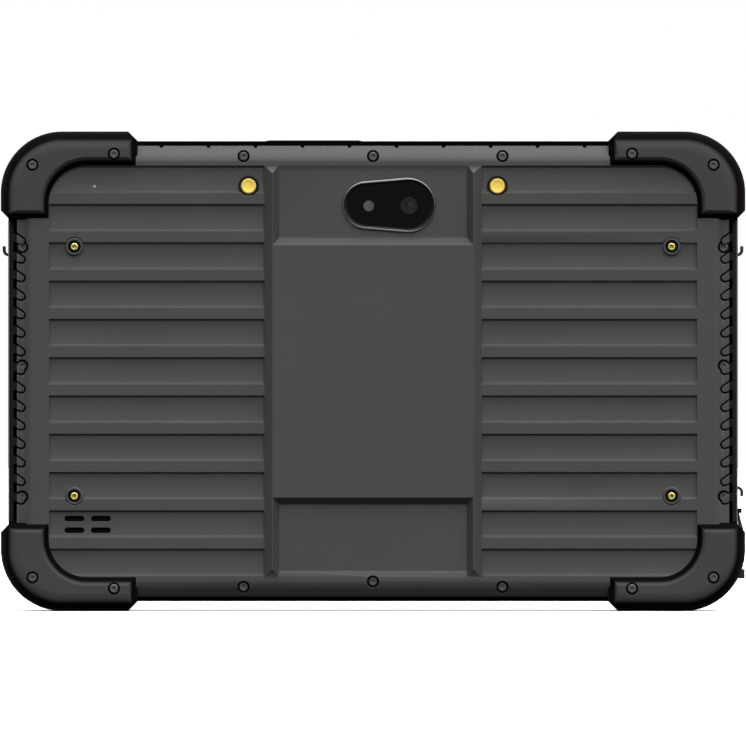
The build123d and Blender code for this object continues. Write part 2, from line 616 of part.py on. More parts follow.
def front_frame():
    """Front half of the body: side walls, bezel ledge, screw bosses and port windows."""
    outer = RectangleRounded(FRAME_WIDTH, FRAME_HEIGHT, FRAME_RADIUS)
    inset = FRAME_FRONT_CHAMFER
    lip = RectangleRounded(FRAME_WIDTH - 2 * inset, FRAME_HEIGHT - 2 * inset, FRAME_RADIUS - inset)
    body = slab(outer, SEAM, FRAME_FRONT - inset)
    body += frustum(outer, FRAME_FRONT - inset, lip, FRAME_FRONT)
    room = RectangleRounded(FRAME_ROOM_WIDTH, FRAME_ROOM_HEIGHT, FRAME_ROOM_RADIUS)
    rim = RectangleRounded(
        COVER_WIDTH - 2 * COVER_RIM, COVER_HEIGHT - 2 * COVER_RIM, COVER_RADIUS - COVER_RIM
    )
    window = Rectangle(LCD_WIDTH + 2 * LCD_FIT, LCD_HEIGHT + 2 * LCD_FIT)
    body -= slab(rim, SEAM, SEAM + SEAM_FLANGE)
    body -= slab(room, SEAM + SEAM_FLANGE, LEDGE_BACK)
    body -= slab(window, SEAM, FRAME_FRONT)
    seat = RectangleRounded(
        GLASS_WIDTH + 2 * GLASS_FIT, GLASS_HEIGHT + 2 * GLASS_FIT, GLASS_RADIUS + GLASS_FIT
    )
    body -= slab(seat, LEDGE_FRONT, FRAME_FRONT)
    places = cover_screw_places() + bumper_screw_places()
    envelope = slab(outer, SEAM, LEDGE_BACK)
    body += [pin(x, z, BOSS_RADIUS, SEAM, boss_end(x, z)) & envelope for x, z in places]
    cutters = [pin(x, z, SCREW_RADIUS + SCREW_CLEARANCE, SEAM, boss_end(x, z)) for x, z in places]
    cutters.append(pin(*FRONT_CAMERA_PLACE, FRONT_CAMERA_RADIUS + FRONT_FIT, LEDGE_BACK, LEDGE_FRONT))
    for x, z in light_places():
        cutters.append(pin(x, z, LIGHT_RADIUS + FRONT_FIT, LEDGE_BACK, LEDGE_FRONT))
    cutters += [door_pocket(door) for door in DOORS]
    cutters += [port_window(port) for port in PORTS]
    cutters += [key_stem(span, KEY_FIT, HEIGHT) for span in KEY_SPANS.values()]
    cutters += [key_strip_pocket(), dock_block(DOCK_FIT, HEIGHT), dc_bore(DC_BORE_RADIUS)]
    return body - cutters + dc_hinge_ears()


def mid_plate():
    """Cast inner plate that carries the screen in front and the boards behind."""
    outline = RectangleRounded(
        FRAME_ROOM_WIDTH - 2 * PLATE_FIT, FRAME_ROOM_HEIGHT - 2 * PLATE_FIT, PLATE_RADIUS
    )
    body = slab(outline, PLATE_BACK, LCD_BACK)
    key_span = (STRIP_LEFT - NOTCH_GAP, STRIP_RIGHT + NOTCH_GAP)
    key_notch = rectangle(key_span, (KEY_BOARD_BOTTOM, HEIGHT / 2))
    body -= slab(key_notch, PLATE_BACK, LCD_BACK)
    for port in PORTS:
        side = port["side"]
        half = port["size"][0] / 2 + NOTCH_GAP
        x = (side * (PORT_MOUTH - port["depth"] - NOTCH_GAP), side * WIDTH / 2)
        body -= slab(rectangle(x, (port["z"] - half, port["z"] + half)), PLATE_BACK, LCD_BACK)
    half = DC_BODY / 2 + NOTCH_GAP
    x = (PORT_MOUTH - TALL_PORT_DEPTH - NOTCH_GAP, WIDTH / 2)
    body -= slab(rectangle(x, (DC_JACK_Z - half, DC_JACK_Z + half)), PLATE_BACK, LCD_BACK)
    half_dock = DOCK_WIDTH / 2 + NOTCH_GAP
    dock_notch = rectangle((-half_dock, half_dock), (-HEIGHT / 2, DOCK_TOP + NOTCH_GAP))
    body -= slab(dock_notch, PLATE_BACK, LCD_BACK)
    for x, z in STANDOFFS:
        body += pin(x, z, STANDOFF_RADIUS, BOARD_FRONT, PLATE_BACK)
    return body


# ================================================================ screen
def cover_glass():
    """Hardened front glass."""
    outline = RectangleRounded(GLASS_WIDTH, GLASS_HEIGHT, GLASS_RADIUS)
    return slab(outline, GLASS_BACK, GLASS_BACK + GLASS_THICKNESS)


def glass_adhesive():
    """Foam adhesive frame that bonds the glass to the ledge."""
    inset = ADHESIVE_INSET
    outer = RectangleRounded(GLASS_WIDTH - 2 * inset, GLASS_HEIGHT - 2 * inset, GLASS_RADIUS - inset)
    gap = LCD_FIT + inset
    inner = Rectangle(LCD_WIDTH + 2 * gap, LCD_HEIGHT + 2 * gap)
    ring = outer - inner - Pos(*FRONT_CAMERA_PLACE) * Circle(FRONT_CAMERA_RADIUS + FRONT_FIT)
    for x, z in light_places():
        ring -= Pos(x, z) * Circle(LIGHT_RADIUS + FRONT_FIT)
    return slab(ring, LEDGE_FRONT, GLASS_BACK)


def display_panel():
    """Screen module behind the glass."""
    return slab(Rectangle(LCD_WIDTH, LCD_HEIGHT), LCD_BACK, GLASS_BACK)


def front_camera():
    """Small camera behind the glass, over the screen."""
    return pin(*FRONT_CAMERA_PLACE, FRONT_CAMERA_RADIUS, LCD_BACK, LEDGE_FRONT - BEHIND_ADHESIVE)


def light_places():
    """Three status lights in a row beside the front camera."""
    return [(LIGHT_FIRST_X + i * LIGHT_PITCH, FRONT_CAMERA_PLACE[1]) for i in range(LIGHT_COUNT)]


def status_lights():
    """Light pipes of the status lights."""
    tip = LEDGE_FRONT - BEHIND_ADHESIVE
    return many([pin(x, z, LIGHT_RADIUS, LCD_BACK, tip) for x, z in light_places()])


# ================================================================ bumpers and screws
def bumper(side, tier):
    """One rubber corner: an L that wraps the body, with sloped ends and a rounded outside."""
    outline = RectangleRounded(WIDTH, HEIGHT, BUMPER_RADIUS)
    whole = slab(outline, BACK, FRONT)
    whole = fillet(whole.faces().sort_by(Axis.Y)[0].edges(), BUMPER_REAR_ROUNDING)
    whole = fillet(whole.faces().sort_by(Axis.Y)[-1].edges(), BUMPER_FRONT_ROUNDING)
    foot_x = WIDTH / 2 - BUMPER_LONG_ARM
    foot_z = SIDE_FOOT
    corner = whole & block((foot_x, WIDTH), (BACK, FRONT), (foot_z, HEIGHT))
    reach = BUMPER_INNER_SLOPE
    inner = RectangleRounded(2 * BANK_OUTER, 2 * BANK_TOP, BUMPER_INNER_RADIUS)
    grown = RectangleRounded(
        2 * (BANK_OUTER + reach), 2 * (BANK_TOP + reach), BUMPER_INNER_RADIUS + reach
    )
    corner -= frustum(inner, BORDER, grown, BACK)
    corner -= slab(inner, SEAM, BORDER)
    lip_width = FRAME_WIDTH - 2 * BUMPER_SIDE_LIP
    lip_height = FRAME_HEIGHT - 2 * BUMPER_END_LIP
    lip = RectangleRounded(lip_width, lip_height, BUMPER_INNER_RADIUS)
    lip_top = RectangleRounded(
        lip_width + 2 * LIP_SLOPE, lip_height + 2 * LIP_SLOPE, BUMPER_INNER_RADIUS + LIP_SLOPE
    )
    corner -= frustum(lip, FRAME_FRONT, lip_top, FRONT)
    for cutter in end_slope_cutters(foot_x, foot_z):
        corner -= cutter
    frame = RectangleRounded(
        FRAME_WIDTH + 2 * BUMPER_FIT, FRAME_HEIGHT + 2 * BUMPER_FIT, FRAME_RADIUS + BUMPER_FIT
    )
    corner -= slab(frame, SEAM - BUMPER_FIT, FRAME_FRONT)
    corner -= cover_envelope(BUMPER_FIT)
    if side < 0:
        corner = mirror(corner, about=Plane.YZ)
    if tier < 0:
        corner = mirror(corner, about=Plane.XY)
    for x, z in bumper_screw_places():
        corner -= pin(x, z, SCREW_RADIUS + SCREW_CLEARANCE, SEAM, BACK)
        corner -= pin(x, z, HEAD_RECESS_RADIUS, BACK + BUMPER_HEAD_SINK + HEAD_HEIGHT, BACK)
    if side > 0 and tier < 0:
        corner -= dc_opening()
    return corner


def wedge(profile, plane, length):
    """Long prism of a three-cornered profile, centred on the plane."""
    return extrude(plane * Polygon(*profile, align=None), amount=length, both=True)


def end_slope_cutters(foot_x, foot_z):
    """Prisms that slope both ends of an upper right bumper on the outside, back and front."""
    run = BUMPER_END_SLOPE
    cutters = []
    for face, sign in ((BACK, -1), (FRONT, 1)):
        near = face - sign * run
        over_arm = [(foot_x, near), (foot_x + run, face), (foot_x, face)]
        cutters.append(wedge(over_arm, Plane.XY, HEIGHT))
        side_arm = [(near, foot_z), (face, foot_z + run), (face, foot_z)]
        cutters.append(wedge(side_arm, Plane.YZ, WIDTH))
    top = HEIGHT / 2
    cutters.append(wedge([(foot_x, top - run), (foot_x + run, top), (foot_x, top)], Plane.XZ, DEPTH))
    edge = WIDTH / 2
    cutters.append(wedge([(edge - run, foot_z), (edge, foot_z + run), (edge, foot_z)], Plane.XZ, DEPTH))
    return cutters


def cover_head_seat(x, z):
    """Depth of the face that the head of a cover screw rests on."""
    sink = SIDE_HEAD_SINK if abs(x) == SIDE_SCREW_X else EDGE_HEAD_SINK
    return BORDER + sink + HEAD_HEIGHT


def cover_screw_length(x, z):
    """Shank length of a cover screw under its head."""
    if abs(x) == SIDE_SCREW_X:
        return SIDE_SCREW_LENGTH
    return MIDDLE_SCREW_LENGTH if z == BOTTOM_MIDDLE_SCREW_Z else EDGE_SCREW_LENGTH


def boss_end(x, z):
    """Front end of a frame boss: on the plate, or clear of the dock connector."""
    return MIDDLE_BOSS_END if z == BOTTOM_MIDDLE_SCREW_Z else PLATE_BACK


def screw(x, z, seat, length):
    """Pan-head screw with a six-cornered drive, its head towards the back."""
    body = pin(x, z, HEAD_RADIUS, seat, seat - HEAD_HEIGHT) + pin(x, z, SCREW_RADIUS, seat + length, seat)
    drive = Pos(x, z) * RegularPolygon(DRIVE_RADIUS, 6)
    return body - slab(drive, seat - HEAD_HEIGHT + DRIVE_DEPTH, seat - HEAD_HEIGHT)


def cover_screws():
    """Twelve screws that close the cover."""
    places = cover_screw_places()
    return many([screw(x, z, cover_head_seat(x, z), cover_screw_length(x, z)) for x, z in places])


def bumper_screws():
    """Eight screws that hold the bumpers."""
    seat = BACK + BUMPER_HEAD_SINK + HEAD_HEIGHT
    return many([screw(x, z, seat, BUMPER_SCREW_LENGTH) for x, z in bumper_screw_places()])


# ================================================================ fittings on the back
def mount_inserts():
    """Four brass inserts, tapped M2."""
    end = BORDER + INSERT_SINK + INSERT_LENGTH
    inserts = []
    for x, z in insert_places():
        sleeve = Pos(x, z) * Circle(INSERT_RADIUS) - Pos(x, z) * Circle(INSERT_BORE)
        inserts.append(slab(sleeve, BORDER + INSERT_SINK, end))
    return many(inserts)


def contact_ring_outline(side, grow=0.0):
    """Round seal, cut flat where it meets the first rib."""
    flat = CONTACT_Z - RING_FLAT - grow
    disc = Pos(side * CONTACT_X, CONTACT_Z) * Circle(RING_RADIUS + grow)
    keep = rectangle((side * CONTACT_X - 2 * RING_RADIUS, side * CONTACT_X + 2 * RING_RADIUS), (flat, HEIGHT))
    return disc & keep


def contact_rings():
    """Black insulating seals round the two contacts."""
    rings = []
    for _, side in SIDES:
        bore = Pos(side * CONTACT_X, CONTACT_Z) * Circle(CONTACT_RADIUS + CONTACT_FIT)
        rings.append(slab(contact_ring_outline(side) - bore, BORDER + RING_SINK, CEILING))
    return many(rings)


def contact_discs():
    """Two gilt contacts with slightly dished faces."""
    face = BORDER + RING_SINK + CONTACT_DISH
    ball_radius = (CONTACT_RADIUS**2 + CONTACT_DISH**2) / (2 * CONTACT_DISH)
    discs = []
    for _, side in SIDES:
        x = side * CONTACT_X
        disc = pin(x, CONTACT_Z, CONTACT_RADIUS, face, face + CONTACT_LENGTH)
        dish = Pos(x, face + CONTACT_DISH - ball_radius, CONTACT_Z) * Sphere(ball_radius)
        discs.append(disc - dish)
    return many(discs)


def camera_outline(radii, grow=0.0):
    """Outline of the camera window at a given pair of radii."""
    left = Pos(*CAMERA_LEFT) * Circle(radii[0] + grow)
    right = Pos(*CAMERA_RIGHT) * Circle(radii[1] + grow)
    return make_hull(left.edges() + right.edges())


def camera_bezel():
    """Raised rim round the camera window, with a ledge for the glass."""
    rear = BORDER + POCKET_SINK - CAMERA_PROUD
    ledge = rear + CAMERA_GLASS_SINK + CAMERA_GLASS_THICKNESS
    body = slab(camera_outline(CAMERA_BEZEL_RADII), rear, CEILING)
    body -= slab(camera_outline(CAMERA_GLASS_RADII, CAMERA_FIT), rear, ledge)
    return body - slab(camera_outline(CAMERA_GLASS_RADII, -CAMERA_LEDGE), rear, CEILING)


def camera_glass():
    """Dark glass over the camera and its flash."""
    rear = BORDER + POCKET_SINK - CAMERA_PROUD + CAMERA_GLASS_SINK
    return slab(camera_outline(CAMERA_GLASS_RADII), rear, rear + CAMERA_GLASS_THICKNESS)


def camera_module():
    """Camera body on the main board, with a bracket that carries the flash."""
    x, z = LENS_PLACE
    half = CAMERA_BODY / 2
    body = block((x - half, x + half), (MODULE_BACK, BOARD_BACK), (z - half, z + half))
    reach = FLASH_PLACE[0] - BRACKET_HALF_HEIGHT
    bracket_z = (z - BRACKET_HALF_HEIGHT, z + BRACKET_HALF_HEIGHT)
    return body + block((reach, x), (MODULE_BACK, MODULE_BACK + BRACKET_THICKNESS), bracket_z)


def camera_lens():
    """Lens barrel with its recessed opening."""
    rear = MODULE_BACK - LENS_LENGTH
    barrel = pin(*LENS_PLACE, LENS_RADIUS, MODULE_BACK, rear)
    return barrel - pin(*LENS_PLACE, LENS_OPENING, rear + LENS_OPENING_DEPTH, rear)


def camera_flash():
    """Flash light on its square base."""
    x, z = FLASH_PLACE
    half = FLASH_BASE_HALF
    rear = MODULE_BACK - FLASH_BASE_THICKNESS
    base = block((x - half, x + half), (MODULE_BACK, rear), (z - half, z + half))
    return base + pin(x, z, FLASH_RADIUS, rear, MODULE_BACK - LENS_LENGTH)


def speaker():
    """Speaker box behind the slots."""
    rear = CEILING + MESH_THICKNESS
    return block(SPEAKER_X, (rear, rear + SPEAKER_DEPTH), SPEAKER_Z)


def speaker_mesh():
    """Fine mesh between the slots and the speaker."""
    return block(SPEAKER_X, (CEILING, CEILING + MESH_THICKNESS), SPEAKER_Z)


def microphone():
    """Microphone capsule behind its hole."""
    x, z = MIC_PLACE
    width, depth, height = MIC_CAPSULE
    return block((x - width / 2, x + width / 2), (CEILING, CEILING + depth), (z - height / 2, z + height / 2))


def grip_rail(side):
    """Rubber rail along one side, with fingers that lie in the cover's edge."""
    outer = FRAME_WIDTH / 2
    inner = outer - RAIL_THICKNESS
    half = SIDE_FOOT - RAIL_END_GAP
    back = SEAM - RAIL_DEPTH
    floor = back + GRIP_BRIDGE_DEPTH
    envelope = cover_envelope()
    pieces = [finger & envelope for finger in grip_fingers(1)]
    for index in range(GRIP_COUNT):
        z = GRIP_TOP - index * GRIP_PITCH
        root = (COVER_WIDTH / 2 - GRIP_BRIDGE_LAP, inner + GRIP_BRIDGE_LAP)
        pieces.append(block(root, (back, floor), (z + GRIP_ROOT_LOW, z + GRIP_ROOT_HIGH)))
    body = block((inner, outer), (back, SEAM), (-half, half)) + pieces
    body -= [pin(SIDE_SCREW_X, z, HEAD_RECESS_RADIUS + GRIP_GAP, SEAM, BACK) for z in SIDE_SCREW_Z]
    return body if side > 0 else mirror(body, about=Plane.YZ)


# ================================================================ inside the body
def main_board():
    """Main board: a strip along the top and a column down the right side."""
    strip = rectangle(BOARD_X, (BOARD_LOW, BOARD_TOP))
    column = rectangle((BOARD_COLUMN_X, BOARD_RIGHT), (BOARD_BOTTOM, BOARD_LOW))
    body = slab(strip + column, BOARD_BACK, BOARD_FRONT)
    notch_x = (PORT_MOUTH - TALL_PORT_DEPTH - PORT_FIT, WIDTH)
    for z, width in ((HOST_Z, USB_A_SIZE[0]), (DC_JACK_Z, DC_BODY)):
        half = width / 2 + PORT_FIT
        body -= block(notch_x, (BOARD_BACK, BOARD_FRONT), (z - half, z + half))
    return body


def shield_cans():
    """Pressed metal cans over the chips on the rear side of the main board."""
    cans = []
    for can in SHIELDS:
        outline = Pos(can["x"], can["z"]) * RectangleRounded(can["width"], can["height"], SHIELD_RADIUS)
        cans.append(slab(outline, BOARD_BACK, BOARD_BACK - SHIELD_HEIGHT))
    return many(cans)


def io_board():
    """Small board behind the card cover."""
    return block((-BOARD_RIGHT, -IO_BOARD_INNER), (BOARD_BACK, BOARD_FRONT), IO_BOARD_Z)


def battery_pack():
    """Flat battery pack on the inner plate."""
    width = BATTERY_X[1] - BATTERY_X[0]
    height = BATTERY_Z[1] - BATTERY_Z[0]
    outline = Pos(sum(BATTERY_X) / 2, sum(BATTERY_Z) / 2) * RectangleRounded(width, height, BATTERY_RADIUS)
    return slab(outline, PLATE_BACK, PLATE_BACK - BATTERY_THICKNESS)


def vibration_motor():
    """Coin motor on the inner plate."""
    return pin(*MOTOR_PLACE, MOTOR_RADIUS, PLATE_BACK, PLATE_BACK - MOTOR_HEIGHT)


def gps_antenna():
    """Ceramic patch antenna on the main board."""
    x, z = ANTENNA_PLACE
    half = ANTENNA_SIZE / 2
    return block((x - half, x + half), (BOARD_BACK, BOARD_BACK - ANTENNA_HEIGHT), (z - half, z + half))


# ================================================================ ports
def port_outline(port, grow=0.0):
    """Mouth of a port, drawn flat: (depth, height) with rounded ends."""
    along, across = port["size"]
    corner = max(port["corner"] + grow, PORT_LEAST_CORNER)
    return RectangleRounded(across + 2 * grow, along + 2 * grow, corner)


def along_side(outline, x_one, x_two, y, z):
    """Prism along X of an outline drawn in (Y, Z)."""
    low = min(x_one, x_two)
    high = max(x_one, x_two)
    plane = Plane(origin=(low, y, z), x_dir=(0, 1, 0), z_dir=(1, 0, 0))
    return extrude(plane * outline, amount=high - low, dir=(1, 0, 0))


def port_window(port):
    """Opening for a port through the frame's side wall."""
    outer = FRAME_WIDTH / 2 - DOOR_POCKET + PAST
    inner = FRAME_ROOM_WIDTH / 2 - PORT_TUNNEL
    side = port["side"]
    outline = port_outline(port, PORT_FIT)
    return along_side(outline, side * inner, side * outer, port["y"], port["z"])


def port_shell(port):
    """Connector body with its mouth hollow."""
    side = port["side"]
    inner = PORT_MOUTH - port["depth"]
    body = along_side(port_outline(port), side * inner, side * PORT_MOUTH, port["y"], port["z"])
    hollow = port_outline(port, -PORT_WALL)
    body -= along_side(hollow, side * (PORT_MOUTH - PORT_HOLLOW), side * PORT_MOUTH, port["y"], port["z"])
    if "tongue" in port:
        tongue = Rectangle(port["tongue"], port["size"][0] - 3 * PORT_WALL)
        reach = side * (PORT_MOUTH - TONGUE_SHORT)
        body += along_side(tongue, side * (PORT_MOUTH - PORT_HOLLOW), reach, port["y"], port["z"])
    return body


def dc_bore(radius):
    """Round hole for the power plug, through the frame's side wall."""
    inner = FRAME_ROOM_WIDTH / 2 - PORT_TUNNEL
    return along_side(Circle(radius), inner, FRAME_WIDTH / 2 + PAST, DC_JACK_Y, DC_JACK_Z)


def dc_jack():
    """Power jack with its centre pin."""
    half = DC_BODY / 2
    mouth = FRAME_ROOM_WIDTH / 2 - DC_SET_BACK
    x = (PORT_MOUTH - TALL_PORT_DEPTH, mouth)
    body = block(x, (DC_JACK_Y - half, DC_JACK_Y + half), (DC_JACK_Z - half, DC_JACK_Z + half))
    floor = mouth - DC_HOLE_DEPTH
    body -= along_side(Circle(DC_HOLE_RADIUS), floor, mouth, DC_JACK_Y, DC_JACK_Z)
    return body + along_side(Circle(DC_PIN_RADIUS), floor, mouth - DC_PIN_SHORT, DC_JACK_Y, DC_JACK_Z)


# ================================================================ side covers
def hinge_bar(door, radius, half_length):
    """Cylinder along Y at a door's hinge."""
    x = door["side"] * HINGE_X
    return pin(x, door["hinge_z"], radius, PORT_Y - half_length, PORT_Y + half_length)


def door_pocket(door):
    """Shallow pocket in the frame's side that takes a door, with sockets for its hinge."""
    outer = FRAME_WIDTH / 2
    side = door["side"]
    start = door["hinge_z"] - door["way"] * (HINGE_RADIUS + HINGE_FIT)
    end = door["hinge_z"] + door["way"] * (DOOR_LENGTH + DOOR_FIT)
    half = DOOR_WIDTH / 2 + DOOR_FIT
    x = (side * (outer - DOOR_POCKET), side * (outer + PAST))
    pocket = block(x, (PORT_Y - half, PORT_Y + half), (start, end))
    reach = half + TRUNNION_LENGTH + TRUNNION_END_GAP
    return pocket + hinge_bar(door, TRUNNION_RADIUS + TRUNNION_FIT, reach)


def pull_tab(door):
    """Hooked finger tab at the free end of a door."""
    side = door["side"]
    way = door["way"]
    root = FRAME_WIDTH / 2
    z = TAB_BEND + TAB_THICKNESS
    outer = Circle(TAB_BEND + TAB_THICKNESS) - Circle(TAB_BEND)
    quarter = rectangle((0, WIDTH), (-HEIGHT, 0))
    bend = outer & quarter
    tip = rectangle((TAB_BEND, TAB_BEND + TAB_THICKNESS), (0, TAB_TIP))
    stem = rectangle((-TAB_SINK, 0), (-z, -TAB_BEND))
    hook = bend + tip + stem
    base = door["hinge_z"] + way * (DOOR_LENGTH - TAB_FROM_END)
    half = TAB_WIDTH / 2
    shape = slab(Pos(root, z) * hook, PORT_Y - half, PORT_Y + half)
    if side < 0:
        shape = mirror(shape, about=Plane.YZ)
    if way < 0:
        shape = mirror(shape, about=Plane.XY)
    return Pos(0, 0, base) * shape


def door_cover(door):
    """Rubber port cover: plate, plugs for its ports, hinge bar and pull tab."""
    outer = FRAME_WIDTH / 2
    side = door["side"]
    half = DOOR_WIDTH / 2
    x = (side * (outer - DOOR_THICKNESS), side * outer)
    z = (door["hinge_z"], door["hinge_z"] + door["way"] * DOOR_LENGTH)
    body = block(x, (PORT_Y - half, PORT_Y + half), z)
    body += hinge_bar(door, HINGE_RADIUS, half)
    body += hinge_bar(door, TRUNNION_RADIUS, half + TRUNNION_LENGTH)
    root = side * (outer - DOOR_THICKNESS / 2)
    reach = side * (outer - DOOR_THICKNESS - PLUG_DEPTH)
    for port in PORTS:
        if port["door"] == door["name"]:
            body += along_side(port_outline(port, -PLUG_FIT), reach, root, port["y"], port["z"])
    return body + pull_tab(door)


def dc_opening():
    """Cut-out in the lower right bumper for the corner cover."""
    half = DC_COVER_WIDTH / 2 + DC_FIT
    z = (DC_HINGE_Z + PAST, DC_COVER_END - DC_FIT)
    return block((FRAME_WIDTH / 2, WIDTH), (DC_JACK_Y - half, DC_JACK_Y + half), z)


def dc_hinge_ears():
    """Two small ears on the frame that hold the corner cover's hinge bar."""
    ears = []
    for sign in (-1, 1):
        inner = DC_JACK_Y + sign * (DC_COVER_WIDTH / 2 + DC_EAR_GAP)
        span = (inner, inner + sign * DC_EAR_THICKNESS)
        z = (DC_HINGE_Z - DC_EAR_HALF, DC_HINGE_Z + DC_EAR_HALF)
        ears.append(block((FRAME_WIDTH / 2 - DC_EAR_ROOT, DC_HINGE_X + DC_EAR_HALF), span, z))
    half = DC_COVER_WIDTH / 2 + DC_EAR_GAP + DC_EAR_THICKNESS
    bar = pin(DC_HINGE_X, DC_HINGE_Z, DC_PIVOT_RADIUS + DC_PIVOT_FIT, DC_JACK_Y - half, DC_JACK_Y + half)
    return ears[0] + ears[1] - bar


def dc_cover():
    """Corner cover over the power jack: a wedge that rises into the bumper, with a lip to pull."""
    foot = FRAME_WIDTH / 2 + DC_FACE_GAP
    face = WIDTH / 2 - DC_FACE_SINK
    side_view = Polygon(
        (foot, DC_HINGE_Z),
        (face, DC_HINGE_Z - DC_WEDGE),
        (face, DC_COVER_END),
        (foot, DC_COVER_END),
        align=None,
    )
    inset = DC_FACE_SINK
    side_view &= RectangleRounded(WIDTH - 2 * inset, HEIGHT - 2 * inset, BUMPER_RADIUS - inset)
    side_view += rectangle((foot, WIDTH / 2), (DC_COVER_END, DC_COVER_END + DC_LIP))
    half = DC_COVER_WIDTH / 2
    body = slab(side_view, DC_JACK_Y - half, DC_JACK_Y + half)
    body += pin(DC_HINGE_X, DC_HINGE_Z, DC_BEAD_RADIUS, DC_JACK_Y - half, DC_JACK_Y + half)
    pivot_half = half + DC_EAR_GAP + DC_EAR_THICKNESS - DC_PIVOT_END_GAP
    body += pin(DC_HINGE_X, DC_HINGE_Z, DC_PIVOT_RADIUS, DC_JACK_Y - pivot_half, DC_JACK_Y + pivot_half)
    root = DC_HINGE_X
    return body + along_side(Circle(DC_PLUG_RADIUS), foot - DC_PLUG_DEPTH, root, DC_JACK_Y, DC_JACK_Z)


# ================================================================ keys
def key_strip_pocket():
    """Shallow pocket in the frame's top edge that takes the key strip."""
    half = STRIP_WIDTH / 2
    floor = FRAME_HEIGHT / 2 + STRIP_PROUD - STRIP_THICKNESS
    return block((STRIP_LEFT, STRIP_RIGHT), (KEY_Y - half, KEY_Y + half), (floor, HEIGHT / 2))


def key_stem(span, grow, top):
    """Straight body of a key, or its shaft when it is grown."""
    half = KEY_WIDTH / 2 + grow
    x = (span[0] - grow, span[1] + grow)
    return block(x, (KEY_Y - half, KEY_Y + half), (KEY_FOOT, min(top, HEIGHT / 2)))


def key_strip():
    """Rubber strip round the keys, tapered down at both ends."""
    half = STRIP_WIDTH / 2
    floor = FRAME_HEIGHT / 2 + STRIP_PROUD - STRIP_THICKNESS
    top = FRAME_HEIGHT / 2 + STRIP_PROUD
    flush = FRAME_HEIGHT / 2
    side_view = Polygon(
        (STRIP_LEFT, floor),
        (STRIP_RIGHT, floor),
        (STRIP_RIGHT, flush),
        (STRIP_RIGHT - STRIP_TAPER, top),
        (STRIP_LEFT + STRIP_TAPER, top),
        (STRIP_LEFT, flush),
        align=None,
    )
    body = slab(side_view, KEY_Y - half, KEY_Y + half)
    for span in KEY_SPANS.values():
        body -= key_stem(span, KEY_FIT, HEIGHT)
    return body


def key(span):
    """One key: a cap flush with the strip and a lip that keeps it in."""
    cap = key_stem(span, 0.0, FRAME_HEIGHT / 2 + STRIP_PROUD)
    half = KEY_WIDTH / 2 + KEY_LIP
    x = (span[0] - KEY_LIP_END, span[1] + KEY_LIP_END)
    lip = block(x, (KEY_Y - half, KEY_Y + half), (KEY_FOOT, KEY_FOOT + KEY_LIP_HEIGHT))
    return cap + lip


def key_switches():
    """Tactile switches under the keys."""
    half = SWITCH_SIZE / 2
    switches = []
    for low, high in KEY_SPANS.values():
        middle = (low + high) / 2
        top = KEY_FOOT - KEY_TRAVEL - SWITCH_GAP
        z = (top - SWITCH_HEIGHT, top)
        switches.append(block((middle - half, middle + half), (KEY_Y - half, KEY_Y + half), z))
    return many(switches)


def key_board():
    """Narrow board that carries the switches, seated in the plate's notch."""
    half = KEY_BOARD_WIDTH / 2
    z = (KEY_BOARD_BOTTOM, KEY_BOARD_BOTTOM + KEY_BOARD_THICKNESS)
    x = (STRIP_LEFT + KEY_BOARD_INSET, STRIP_RIGHT - KEY_BOARD_INSET)
    return block(x, (KEY_Y - half, KEY_Y + half), z)


# ================================================================ dock connector
def dock_block(grow, reach):
    """Body of the dock connector, or its opening when it is grown."""
    half_x = DOCK_WIDTH / 2 + grow
    half_y = DOCK_DEPTH / 2 + grow
    low = max(-HEIGHT / 2, DOCK_FACE - reach)
    return block((-half_x, half_x), (PORT_Y - half_y, PORT_Y + half_y), (low, DOCK_TOP + grow))


def dock_pin_places():
    """Row of contacts along the dock connector."""
    return [(i - (DOCK_PINS - 1) / 2) * DOCK_PIN_PITCH for i in range(DOCK_PINS)]


def upright_pin(x, radius, z_one, z_two):
    """Cylinder along Z on the port line."""
    length = abs(z_two - z_one)
    return Pos(x, PORT_Y, (z_one + z_two) / 2) * Cylinder(radius, length)


def dock_connector():
    """Insulating block of the dock connector."""
    body = dock_block(0.0, 0.0)
    for x in dock_pin_places():
        radius = DOCK_PIN_RADIUS + DOCK_PIN_FIT
        body -= upright_pin(x, radius, DOCK_FACE - PAST, DOCK_TOP - DOCK_PIN_FLOOR)
    return body


def dock_pins():
    """Gilt contacts of the dock connector."""
    tip = DOCK_FACE - DOCK_PIN_PROUD
    end = DOCK_TOP - DOCK_PIN_FLOOR
    return many([upright_pin(x, DOCK_PIN_RADIUS, tip, end) for x in dock_pin_places()])


